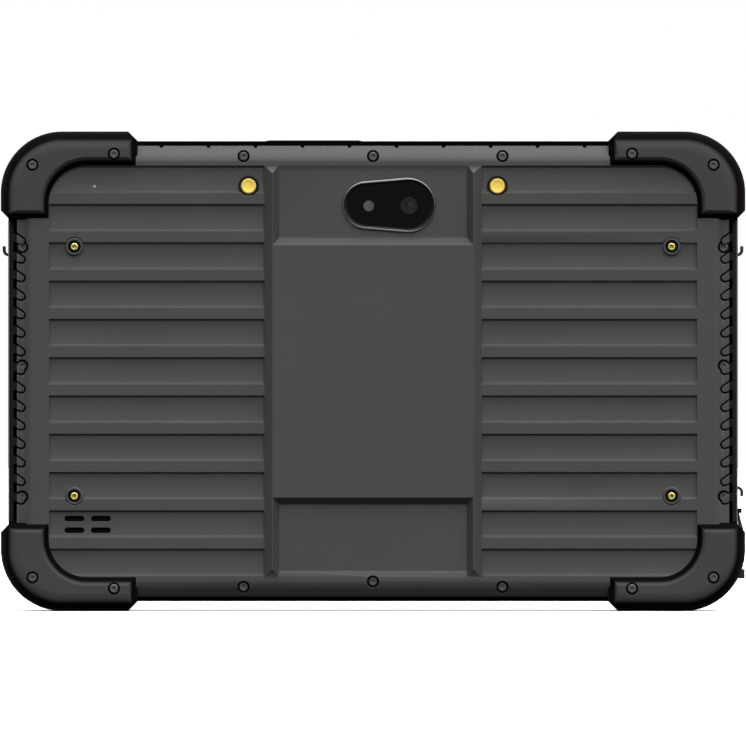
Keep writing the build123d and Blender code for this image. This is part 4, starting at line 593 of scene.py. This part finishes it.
def join(pieces, name):
    """Join pieces into the first one."""
    bpy.ops.object.select_all(action="DESELECT")
    for piece in pieces:
        piece.select_set(True)
    bpy.context.view_layer.objects.active = pieces[0]
    if len(pieces) > 1:
        bpy.ops.object.join()
    pieces[0].name = name
    pieces[0].data.name = name
    return pieces[0]


def copy_to(piece, name, x=0.0, z=0.0, turn_over=False):
    """Copy with its own mesh, moved by x and z in mm, or mirrored to the other side."""
    choose(piece)
    bpy.ops.object.duplicate()
    twin = bpy.context.active_object
    with editing(twin):
        bpy.ops.mesh.select_all(action="SELECT")
        if turn_over:
            bpy.ops.transform.resize(value=(-1, 1, 1), center_override=(0, 0, 0))
            bpy.ops.mesh.flip_normals()
        bpy.ops.transform.translate(value=(x * MM, 0, z * MM))
    twin.name = name
    twin.data.name = name
    return twin


def carve(piece, tools, operation="DIFFERENCE"):
    """Cut, unite or intersect a piece with tools that don't touch each other, then remove the tools."""
    tool = join(tools, "tool")
    choose(piece)
    boolean = piece.modifiers.new("boolean", "BOOLEAN")
    boolean.operation = operation
    boolean.solver = "EXACT"
    boolean.object = tool
    bpy.ops.object.modifier_apply(modifier=boolean.name)
    bpy.data.objects.remove(tool)
    return piece


def clean(piece, angle=32):
    """Merge doubles, dissolve crumbs, point the faces outwards, and shade so that flat faces stay flat."""
    with editing(piece):
        bpy.ops.mesh.select_all(action="SELECT")
        bpy.ops.mesh.remove_doubles(threshold=0.002 * MM)
        bpy.ops.mesh.dissolve_degenerate(threshold=0.002 * MM)
        bpy.ops.mesh.select_all(action="SELECT")
        bpy.ops.mesh.normals_make_consistent(inside=False)
    choose(piece)
    bpy.ops.object.shade_smooth_by_angle(angle=math.radians(angle))
    weighted = piece.modifiers.new("weighted", "WEIGHTED_NORMAL")
    weighted.keep_sharp = True
    weighted.weight = 80
    bpy.ops.object.modifier_apply(modifier=weighted.name)
    return piece


def settle(piece, node, finish, body="tablet"):
    """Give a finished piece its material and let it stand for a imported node."""
    piece.data.materials.clear()
    piece.data.materials.append(finish)
    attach(piece, body)
    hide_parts(node)
    low, high = span(node)
    print(node, "faces:", len(piece.data.polygons), "packed size:", [round(v, 2) for v in high - low])


# %% [markdown]
# ## Cover, first the outer skin
# The rear cover is an injection moulding: a tray with round corners whose edge falls away in a soft
# slope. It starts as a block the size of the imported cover. Its corners are bevelled, the back face is
# inset and the ring round it is pulled forward to make the slope, and both creases are then bevelled
# so that light turns over them as it does over a moulded edge.

# %% Outer skin of the cover
cover_low, cover_high = span("rear_cover")
EDGE_X, EDGE_Z = cover_high.x, cover_high.z
RIM_Y = cover_high.y
CROWN_Y = cover_low.y
BORDER_Y = -8.9
CORNER = 14.0
SLOPE = (3.5, 2.6)


def skin(name):
    """Cover block with round corners and a softly sloped edge."""
    body = block(name, (-EDGE_X, EDGE_X), (BORDER_Y, RIM_Y), (-EDGE_Z, EDGE_Z))
    with editing(body):
        pick("EDGE", lambda edge: abs(edge.verts[0].co.y - edge.verts[1].co.y) > 1 * MM)
        bpy.ops.mesh.bevel(offset=CORNER * MM, segments=14, affect="EDGES")
        pick("FACE", lambda face: faces_back(face, BORDER_Y))
        bpy.ops.mesh.inset(thickness=SLOPE[0] * MM)
        bpy.ops.mesh.select_mode(type="VERT")
        flat = {v.index for v in bmesh.from_edit_mesh(body.data).verts if v.select}
        pick("VERT", lambda v: depth(v) < BORDER_Y + 0.01 and v.index not in flat)
        bpy.ops.transform.translate(value=(0, SLOPE[1] * MM, 0))
        pick("EDGE", lambda edge: all(depth(v) < BORDER_Y + 0.01 for v in edge.verts))
        bpy.ops.mesh.bevel(offset=1.5 * MM, segments=6, affect="EDGES")
        pick("EDGE", lambda edge: all(abs(depth(v) - BORDER_Y - SLOPE[1]) < 0.01 for v in edge.verts))
        bpy.ops.mesh.bevel(offset=0.7 * MM, segments=3, affect="EDGES")
    return body


cover = skin("cover")
finger_stock = copy_to(cover, "finger_stock")
print("cover skin", len(cover.data.polygons), "faces")

# %% [markdown]
# ## The slat banks
# Eleven long recesses on each side stiffen the thin back wall. Their floors aren't quite flat: each is
# a very shallow scoop, so that its upper part is a little darker and its lower part a little lighter.
# The cutter for one scoop is a slice of a wide drum that lies along x. The drum is bisected to the
# recess's height, and its flat side is extruded outwards and flared for the mould's draft.

# %% Scooped recesses
BANK = (34.4, 102.6)
BANK_TOP = 65.1
SLAT_PITCH = 12.13
SLAT_HEIGHT = 8.55
DRAFT = 0.5
FLOOR_Y = -8.1
SCOOP = 0.16
half_floor = SLAT_HEIGHT / 2 - DRAFT
drum = (half_floor ** 2 + SCOOP ** 2) / (2 * SCOOP)
first_z = BANK_TOP - SLAT_HEIGHT / 2

bpy.ops.object.select_all(action="DESELECT")
bank_middle = (BANK[0] + BANK[1]) / 2 + 0.01
bpy.ops.mesh.primitive_cylinder_add(vertices=360, radius=drum * MM, depth=(BANK[1] - BANK[0] - 0.02) * MM,
                                    location=at(bank_middle, FLOOR_Y + SCOOP - drum, first_z),
                                    rotation=(0, math.radians(90), 0))
scoop = named("scoop")
with editing(scoop):
    for point, away in ((at(0, 0, first_z + half_floor), (0, 0, 1)),
                        (at(0, 0, first_z - half_floor), (0, 0, -1)),
                        (at(0, FLOOR_Y, 0), (0, -1, 0))):
        bpy.ops.mesh.select_all(action="SELECT")
        bpy.ops.mesh.bisect(plane_co=point, plane_no=away, use_fill=True, clear_outer=True,
                            threshold=1e-7)
    pick("FACE", lambda face: faces_back(face, FLOOR_Y))
    push(BORDER_Y - FLOOR_Y)
    bpy.ops.transform.resize(value=(1, 1, SLAT_HEIGHT / 2 / half_floor), center_override=at(0, 0, first_z))
    push(-1)
clean(scoop)
scoops = [copy_to(scoop, "scoop_copy", z=-index * SLAT_PITCH) for index in range(11)]
scoops += [copy_to(one, "scoop_copy", turn_over=True) for one in scoops[:]]
bpy.data.objects.remove(scoop)
carve(cover, scoops)
print("drum radius", round(drum, 2), "mm; cover", len(cover.data.polygons), "faces")

# %% [markdown]
# ## The central column
# A raised column with sloped sides runs up the middle, and a pocket is sunk into it above and below
# its panel, which leaves two ridges. The column is a block whose back face is extruded and drawn in.
# Each pocket cutter is a plane taken through four rectangles, from the pocket's floor out past the
# column's crown.

# %% Column and pockets
COLUMN = (34.4, 65.1)
CROWN = (31.9, 62.8)
POCKET_Y = -8.4

column = block("column", (-COLUMN[0], COLUMN[0]), (BORDER_Y, FLOOR_Y), (-COLUMN[1], COLUMN[1]))
with editing(column):
    pick("FACE", lambda face: faces_back(face, BORDER_Y))
    push(CROWN_Y - BORDER_Y)
    bpy.ops.transform.resize(value=(CROWN[0] / COLUMN[0], 1, CROWN[1] / COLUMN[1]),
                             center_override=at(0, 0, 0))
    pick("EDGE", lambda edge: all(depth(v) < CROWN_Y + 0.01 for v in edge.verts))
    bpy.ops.mesh.bevel(offset=0.12 * MM, segments=2, affect="EDGES")
carve(cover, [column], "UNION")


def stack(name, *sections):
    """Block through rectangles (y, x_low, x_high, z_low, z_high), from the first to the last."""
    (y, x_low, x_high, z_low, z_high), *others = sections
    bpy.ops.object.select_all(action="DESELECT")
    bpy.ops.mesh.primitive_plane_add(size=1, location=at((x_low + x_high) / 2, y, (z_low + z_high) / 2),
                                     rotation=(math.radians(90), 0, 0))
    bpy.context.active_object.scale = ((x_high - x_low) * MM, (z_high - z_low) * MM, 1)
    piece = named(name)
    with editing(piece):
        bpy.ops.mesh.select_all(action="SELECT")
        was = sections[0]
        for now in others:
            shift = [(now[i] + now[i + 1] - was[i] - was[i + 1]) / 2 * MM for i in (1, 3)]
            bpy.ops.mesh.extrude_region_move(
                TRANSFORM_OT_translate={"value": (shift[0], (now[0] - was[0]) * MM, shift[1])})
            centre = at((now[1] + now[2]) / 2, now[0], (now[3] + now[4]) / 2)
            growth = [(now[i + 1] - now[i]) / (was[i + 1] - was[i]) for i in (1, 3)]
            bpy.ops.transform.resize(value=(growth[0], 1, growth[1]), center_override=centre)
            was = now
    return clean(piece)


for tier in (1, -1):
    low_high = sorted if tier > 0 else lambda pair: sorted(-v for v in pair)
    carve(cover, [stack("pocket",
                        (POCKET_Y, -29.7, 29.7, *low_high((42.2, 63.2))),
                        (BORDER_Y, -30.07, 30.07, *low_high((41.79, 65.13))),
                        (CROWN_Y, -31.7, 31.7, *low_high((40.0, 68.0))),
                        (CROWN_Y - 1.0, -32.44, 32.44, *low_high((39.19, 69.0))))])
print("cover with its column:", len(cover.data.polygons), "faces")

# %% [markdown]
# ## The inside of the cover
# Nobody sees the inside while the tablet is whole, but the cover is a shell, and its wall shows at
# every opening. One block with round corners empties the room behind the back wall, another one
# relieves the thick panel, and the bosses come back in.

# %% Hollow and bosses
CEILING_Y = -6.7
room = block("room", (5.2 - EDGE_X, EDGE_X - 5.2), (CEILING_Y, 0.0), (5.2 - EDGE_Z, EDGE_Z - 5.2))
relief = block("relief", (-27.5, 27.5), (CEILING_Y - 2.2, CEILING_Y + 1.0), (-36.0, 36.0))
for tool, radius in ((room, CORNER - 5.2), (relief, 3.0)):
    with editing(tool):
        pick("EDGE", lambda edge: abs(edge.verts[0].co.y - edge.verts[1].co.y) > 1 * MM)
        bpy.ops.mesh.bevel(offset=radius * MM, segments=8, affect="EDGES")
    carve(cover, [tool])

INSERT_PLACES = [(side * 94.6, tier * 39.5) for side in (-1, 1) for tier in (-1, 1)]
carve(cover, [rod("ring", x, z, 3.02, -13.0, BORDER_Y + 0.4, sides=64) for x, z in INSERT_PLACES])
bosses = [rod("boss", 0, -66.6, 3.0, CEILING_Y - 0.5, RIM_Y - 0.01)]
for x, z in INSERT_PLACES:
    boss = rod("boss", x, z, 2.8, BORDER_Y + 0.04, -3.4, sides=64)
    with editing(boss):
        pick("EDGE", lambda edge: all(depth(v) < BORDER_Y + 0.05 for v in edge.verts))
        bpy.ops.mesh.bevel(offset=0.28 * MM, segments=3, affect="EDGES")
    bosses.append(boss)
carve(cover, bosses, "UNION")
print("cover with its bosses:", len(cover.data.polygons), "faces")

# %% [markdown]
# ## Wells and openings
# Twelve screw wells, eight screw holes under the bumpers, four insert wells, two contact openings,
# the camera window, four sound slots and the microphone hole all go through the back wall. A slot or
# a window is drawn as two discs whose hull is taken, which is how a designer sketches one.

# %% Screw wells
BOTTOM_MIDDLE = (0, -66.6)
TOP_EDGE = [(0, 68.1), (-41, 68.1), (41, 68.1), BOTTOM_MIDDLE, (-41, -68.3), (41, -68.3)]
SIDE_EDGE = [(side * 111.1, z) for side in (-1, 1) for z in (39.3, 1.8, -39.7)]
BUMPER_PLACES = [(side * x, tier * z) for side in (-1, 1) for tier in (-1, 1)
                 for x, z in ((107.8, 65.3), (82.0, 68.8))]


def well(x, z, seat):
    """Cutter for a head well with its screw hole."""
    cutter = rod("well", x, z, 1.95, -13.0, seat)
    with editing(cutter):
        pick("FACE", lambda face: face.normal.y > 0.99)
        bpy.ops.mesh.inset(thickness=0.9 * MM)
        push(7)
    return cutter


wells = [well(x, z, -6.1) for x, z in TOP_EDGE] + [well(x, z, -4.9) for x, z in SIDE_EDGE]
wells += [rod("hole", x, z, 1.05, -13.0, 0.0, sides=48) for x, z in BUMPER_PLACES]
COLLAR_TOP, WELL_FLOOR, BODY_TOP = -8.4, -7.45, -6.9
BODY_FOOT = -4.4
for x, z in INSERT_PLACES:
    cutter = rod("well", x, z, 2.05, -13.0, WELL_FLOOR)
    with editing(cutter):
        pick("FACE", lambda face: face.normal.y > 0.99)
        bpy.ops.mesh.inset(thickness=0.92 * MM)
        push(BODY_TOP - WELL_FLOOR)
        bpy.ops.mesh.extrude_region_move()
        bpy.ops.transform.resize(value=(1.63 / 1.13, 1, 1.63 / 1.13), center_override=at(x, BODY_TOP, z))
        push(BODY_FOOT - BODY_TOP)
    wells.append(cutter)
carve(cover, wells)
print("wells cut:", len(wells))

# %% Openings


def hull(name, circles, y_low, y_high, sides=48):
    """Prism round (x, z, radius) circles, as their convex hull."""
    shape = join([rod(name, x, z, radius, y_low, y_high, sides) for x, z, radius in circles], name)
    with editing(shape):
        bpy.ops.mesh.select_all(action="SELECT")
        bpy.ops.mesh.convex_hull()
        bpy.ops.mesh.select_all(action="SELECT")
        bpy.ops.mesh.dissolve_limited(angle_limit=math.radians(0.5))
    return shape


CONTACT = (39.4, 58.7)
RING_FLAT = 2.95
openings = [hull("window", ((-2.0, 52.6, 7.7), (11.0, 52.6, 8.8)), -13.0, 0.0, sides=96)]
openings.append(rod("hole", -88.2, 58.8, 0.6, -13.0, 0.0, sides=48))
for side in (-1, 1):
    ring = rod("ring_opening", side * CONTACT[0], CONTACT[1], 3.18, -13.0, 0.0, sides=64)
    with editing(ring):
        bpy.ops.mesh.select_all(action="SELECT")
        bpy.ops.mesh.bisect(plane_co=at(0, 0, CONTACT[1] - RING_FLAT - 0.03), plane_no=(0, 0, -1),
                            use_fill=True, clear_outer=True, threshold=1e-7)
    openings.append(ring)
SLOT_PLACES = [(x, z) for x in (-94.6, -86.2) for z in (-46.7, -50.4)]
SLOT_REACH = (6.3 - 1.75) / 2
for x, z in SLOT_PLACES:
    openings.append(hull("slot", ((x - SLOT_REACH, z, 0.875), (x + SLOT_REACH, z, 0.875)), -13.0, 0.0))
openings += [rod("notch", (index - 4.5) * 14.9, EDGE_Z, 0.65, -13.0, 0.0, sides=48) for index in range(10)]
carve(cover, openings)
print("openings cut:", len(openings))

# %% [markdown]
# ## Finger grooves
# Down each side, fifteen rubber fingers reach from the grip rail into the cover's edge. Each lies
# in a groove of its own, which is a little larger all round, so that a black line shows about it. One
# finger is drawn as the hull of three discs, and a larger hull cuts its groove. Hardly any light reaches
# the wells, slots and grooves, so their walls and floors take the black finish.

# %% Grooves of the fingers
GRIP_PITCH = 5.87
GRIP_TOP = 41.27
FINGERS = 15
GROOVE_Y = -3.4


def finger(name, grow, y_low):
    """The topmost finger on the right side, grown all round."""
    circles = ((EDGE_X - 1.5, GRIP_TOP, 1.05 + grow), (EDGE_X + 0.4, GRIP_TOP - 0.3, 0.2 + grow),
               (EDGE_X + 0.4, GRIP_TOP + 2.4, 0.2 + grow))
    return hull(name, circles, y_low, GROOVE_Y, sides=32)


def both_sides(piece, count):
    """Copies of a right-hand piece down both sides."""
    right = [copy_to(piece, piece.name, z=-index * GRIP_PITCH) for index in range(count)]
    return right, [copy_to(one, piece.name, turn_over=True) for one in right]


groove = finger("groove", 0.42, -13.0)
right_grooves, left_grooves = both_sides(groove, FINGERS)
bpy.data.objects.remove(groove)
carve(cover, right_grooves)
carve(cover, left_grooves)
clean(cover, angle=20)
settle(cover, "rear_cover", COVER_PLASTIC)
cover.data.materials.append(BLACK_SILICONE_AND_SHADE)
# Painted shade: faces in the wells, slots and grooves, and the deep back-facing floors, take the black
# silicone.
for face in cover.data.polygons:
    in_well = any((face.center - at(x, face.center.y / MM, z)).length < 1.97 * MM
                  for x, z in TOP_EDGE + SIDE_EDGE)
    in_slot = any(abs(face.center.x / MM - x) < 3.3 and abs((face.center.z - MIDDLE) / MM - z) < 0.95
                  for x, z in SLOT_PLACES) and abs(face.normal.y) < 0.1
    if in_slot or (face.center.y > -7.6 * MM and (face.normal.y < -0.9 or in_well)):
        face.material_index = 1
print("cover finished:", len(cover.data.polygons), "faces")

# %% [markdown]
# ## Grip rails
# The rail is a strip of soft rubber whose outer back edge is well rounded: that edge is what catches
# the light down both sides, while its flat back and the faces beside the cover's edge take the black
# silicone as painted shade. Its fingers are cut from the same skin as the cover, so that they follow
# the cover's slope, and a short bridge joins each of them to the rail.

# %% Grip rails with their fingers
RAIL_Y = -4.6
rail_low, rail_high = span("grip_rail_right")
rail = block("rail", (rail_high.x - 1.7, rail_high.x), (RAIL_Y, -1.5), (rail_low.z, rail_high.z))
with editing(rail):
    pick("EDGE", lambda edge: all(v.co.x > (rail_high.x - 0.01) * MM and depth(v) < -4.5 for v in edge.verts))
    bpy.ops.mesh.bevel(offset=1.2 * MM, segments=6, affect="EDGES")
one = finger("finger", -0.16, -13.0)
right_fingers = [copy_to(one, "finger", z=-index * GRIP_PITCH) for index in range(FINGERS)]
bpy.data.objects.remove(one)
fingers = join(right_fingers, "fingers")
carve(fingers, [finger_stock], "INTERSECT")
bridge_tops = [GRIP_TOP - index * GRIP_PITCH + 2.35 for index in range(FINGERS)]
bridges = [block("bridge", (EDGE_X - 0.4, rail_high.x - 1.5), (RAIL_Y, -3.45), (top - 2.6, top))
           for top in bridge_tops]
carve(fingers, bridges, "UNION")
carve(rail, [fingers], "UNION")
clean(rail)
left_rail = copy_to(rail, "rail_left", turn_over=True)
for piece, node in ((rail, "grip_rail_right"), (left_rail, "grip_rail_left")):
    settle(piece, node, GRIP_RUBBER)
    piece.data.materials.append(COVER_PLASTIC)
    piece.data.materials.append(BLACK_SILICONE_AND_SHADE)
    # Fingers' backs take the cover's finish; painted shade: the rail's flat back and the faces beside the
    # cover's edge take the black silicone.
    for face in piece.data.polygons:
        if abs(face.center.x) < EDGE_X * MM and face.center.y < -4.7 * MM:
            face.material_index = 1
        elif face.normal.y < -0.9 or abs(face.center.x) < (EDGE_X + 0.3) * MM:
            face.material_index = 2
print("rail faces:", len(rail.data.polygons))

# %% [markdown]
# ## Screws
# The screws are small pan heads with a thin flange, sunk in wells. Seen from the back each is a grey
# head in a black ring, because hardly any light reaches the flange. One screw of each length is drawn
# about its seat: a thin disc, whose back is inset and extruded into the head, and whose front is
# inset and extruded into the shank. A six-sided rod sinks the drive. Then it is copied to its places.

# %% One screw, then all of them


def screw(seat, length):
    """Pan-head screw at the middle of the tablet, its flange resting at depth seat."""
    piece = rod("screw", 0, 0, 1.75, seat - 0.4, seat)
    with editing(piece):
        pick("FACE", lambda face: face.normal.y < -0.99)
        bpy.ops.mesh.inset(thickness=0.34 * MM)
        push(-0.9)
        pick("EDGE", lambda edge: all(depth(v) < seat - 1.29 for v in edge.verts))
        bpy.ops.mesh.bevel(offset=0.3 * MM, segments=4, affect="EDGES")
        pick("FACE", lambda face: face.normal.y > 0.99)
        bpy.ops.mesh.inset(thickness=0.8 * MM)
        push(length)
        pick("EDGE", lambda edge: all(depth(v) > seat + length - 0.01 for v in edge.verts))
        bpy.ops.mesh.bevel(offset=0.2 * MM, segments=1, affect="EDGES")
    drive = rod("drive", 0, 0, 0.75, seat - 2.0, seat - 0.7, sides=6)
    return clean(carve(piece, [drive]))


def screws(name, kinds):
    """Copies of each kind of screw at its places, joined as one piece."""
    made = []
    for seat, length, places in kinds:
        pattern = screw(seat, length)
        made += [copy_to(pattern, "screw_copy", x=x, z=z) for x, z in places]
        bpy.data.objects.remove(pattern)
    return join(made, name)


edge_only = [place for place in TOP_EDGE if place != BOTTOM_MIDDLE]
cover_set = screws("cover_screw_set",
                   [(-6.1, 8.0, edge_only), (-6.1, 6.0, [BOTTOM_MIDDLE]), (-4.9, 7.0, SIDE_EDGE)])
settle(cover_set, "cover_screws", SCREW_STEEL)
bumper_set = screws("bumper_screw_set", [(cad_box[0].y / MM + 1.8, 12.0, BUMPER_PLACES)])
settle(bumper_set, "bumper_screws", SCREW_STEEL)
# Painted shade: the flanges round the heads take the black silicone.
for piece, places in ((cover_set, TOP_EDGE + SIDE_EDGE), (bumper_set, BUMPER_PLACES)):
    piece.data.materials.append(BLACK_SILICONE_AND_SHADE)
    for face in piece.data.polygons:
        away = min((face.center - at(x, face.center.y / MM, z)).length for x, z in places)
        if away > 1.38 * MM:
            face.material_index = 1

# %% [markdown]
# ## Brass inserts and gilt contacts
# A threaded insert is turned brass: a body buried in its boss and a narrower collar that shows in the
# well. Its tapped bore is drawn as grooves, each an extrusion that widens and narrows again. The
# contact is a turned pin with a bevelled edge and a shallow dish, plated with gold.

# %% Threaded inserts
insert = rod("insert", 0, 0, 1.6, BODY_TOP, BODY_FOOT)
with editing(insert):
    pick("FACE", lambda face: face.normal.y < -0.99)
    bpy.ops.mesh.inset(thickness=0.5 * MM)
    push(COLLAR_TOP - BODY_TOP)
    pick("EDGE", lambda edge: all(depth(v) < COLLAR_TOP + 0.01 for v in edge.verts))
    bpy.ops.mesh.bevel(offset=0.12 * MM, segments=2, affect="EDGES")
    pick("FACE", lambda face: faces_back(face, COLLAR_TOP))
    bpy.ops.mesh.inset(thickness=0.13 * MM)
    push(0.15)
    radius = 0.85
    bpy.ops.transform.resize(value=(0.8 / radius,) * 3, center_override=at(0, COLLAR_TOP + 0.15, 0))
    for turn in range(8):
        for growth in (0.86, 1 / 0.86):
            push(0.2)
            middle = at(0, COLLAR_TOP + 0.35 + 0.4 * turn + (0.2 if growth > 1 else 0), 0)
            bpy.ops.transform.resize(value=(growth, 1, growth), center_override=middle)
clean(insert)
inserts = join([copy_to(insert, "insert_copy", x=x, z=z) for x, z in INSERT_PLACES], "insert_set")
bpy.data.objects.remove(insert)
settle(inserts, "mount_inserts", TURNED_BRASS)

# %% Gilt contacts
disc_low, disc_high = span("contact_discs")
disc = rod("disc", 0, 0, 2.45, disc_low.y, disc_high.y, sides=64)
with editing(disc):
    pick("EDGE", lambda edge: all(depth(v) < disc_low.y + 0.01 for v in edge.verts))
    bpy.ops.mesh.bevel(offset=0.22 * MM, segments=2, affect="EDGES")
    pick("FACE", lambda face: faces_back(face, disc_low.y))
    for inset, sink in ((0.3, 0.0), (0.35, 0.05), (0.45, 0.03), (0.5, 0.02)):
        bpy.ops.mesh.inset(thickness=inset * MM)
        bpy.ops.transform.translate(value=(0, sink * MM, 0))
clean(disc)
discs = join([copy_to(disc, "disc_copy", x=side * CONTACT[0], z=CONTACT[1]) for side in (-1, 1)], "disc_set")
bpy.data.objects.remove(disc)
settle(discs, "contact_discs", GOLD_PLATE)

# %% [markdown]
# ## Camera surround and lens
# The surround is a thin bright rim with an inner slope that leads down to the glass; that slope and
# the inner walls take the black silicone as painted shade. It is the hull of two discs with a bevelled
# outer edge, and the glass's own, smaller hull is cut out of it with a slope. The lens behind the glass
# is a barrel that steps inwards to a small domed front element.

# %% Camera surround
LEFT_DISC = (-2.0, 52.6)
RIGHT_DISC = (11.0, 52.6)
bezel_low, bezel_high = span("camera_bezel")
glass_low, glass_high = span("camera_glass")


def window(name, left, right, y_low, y_high):
    """Prism with the outline of the camera window."""
    return hull(name, ((*LEFT_DISC, left), (*RIGHT_DISC, right)), y_low, y_high, sides=96)


bezel = window("bezel", 7.6, 8.7, bezel_low.y, bezel_high.y)
with editing(bezel):
    pick("EDGE", lambda edge: all(depth(v) < bezel_low.y + 0.01 for v in edge.verts))
    bpy.ops.mesh.bevel(offset=0.3 * MM, segments=4, affect="EDGES")
carve(bezel, [window("seat", 6.4, 7.5, glass_low.y - 0.05, glass_high.y)])
carve(bezel, [window("opening", 5.4, 6.5, -9.0, 0.0)])
mouth = window("mouth", 6.4, 7.5, -13.0, glass_low.y)
with editing(mouth):
    pick("FACE", lambda face: face.normal.y < -0.99)
    bpy.ops.transform.translate(value=(0, (bezel_low.y + 13.0) * MM, 0))
    spread = 0.62
    bpy.ops.transform.resize(value=((14.45 / 13.45), 1, (7.5 + spread) / 7.5),
                             center_override=at(4.5, bezel_low.y, 52.6))
    push(-1.0)
carve(bezel, [mouth])
clean(bezel, angle=25)
settle(bezel, "camera_bezel", ANODISED_BEZEL)
bezel.data.materials.append(BLACK_SILICONE_AND_SHADE)
middle = at(4.5, 0, 52.6)
# Painted shade: the faces that look inwards, behind the rim, take the black silicone.
for face in bezel.data.polygons:
    inward = face.normal.x * (middle.x - face.center.x) + face.normal.z * (middle.z - face.center.z)
    if inward > 0 and face.center.y > bezel_low.y * MM + 0.00002:
        face.material_index = 1
print("bezel faces:", len(bezel.data.polygons))

# %% Lens
lens_low, lens_high = span("camera_lens")
lens = rod("lens", *LENS_PLACE, 2.7, lens_low.y, lens_high.y, sides=64)
with editing(lens):
    pick("FACE", lambda face: face.normal.y < -0.99)
    for inset, sink in ((0.35, 0.0), (0.05, 0.3), (0.5, 0.0), (0.05, 0.3), (0.45, 0.0), (0.05, 0.25),
                        (0.25, -0.1), (0.3, -0.08), (0.3, -0.04)):
        bpy.ops.mesh.inset(thickness=inset * MM)
        bpy.ops.transform.translate(value=(0, sink * MM, 0))
clean(lens)
settle(lens, "camera_lens", LENS_BLACK)
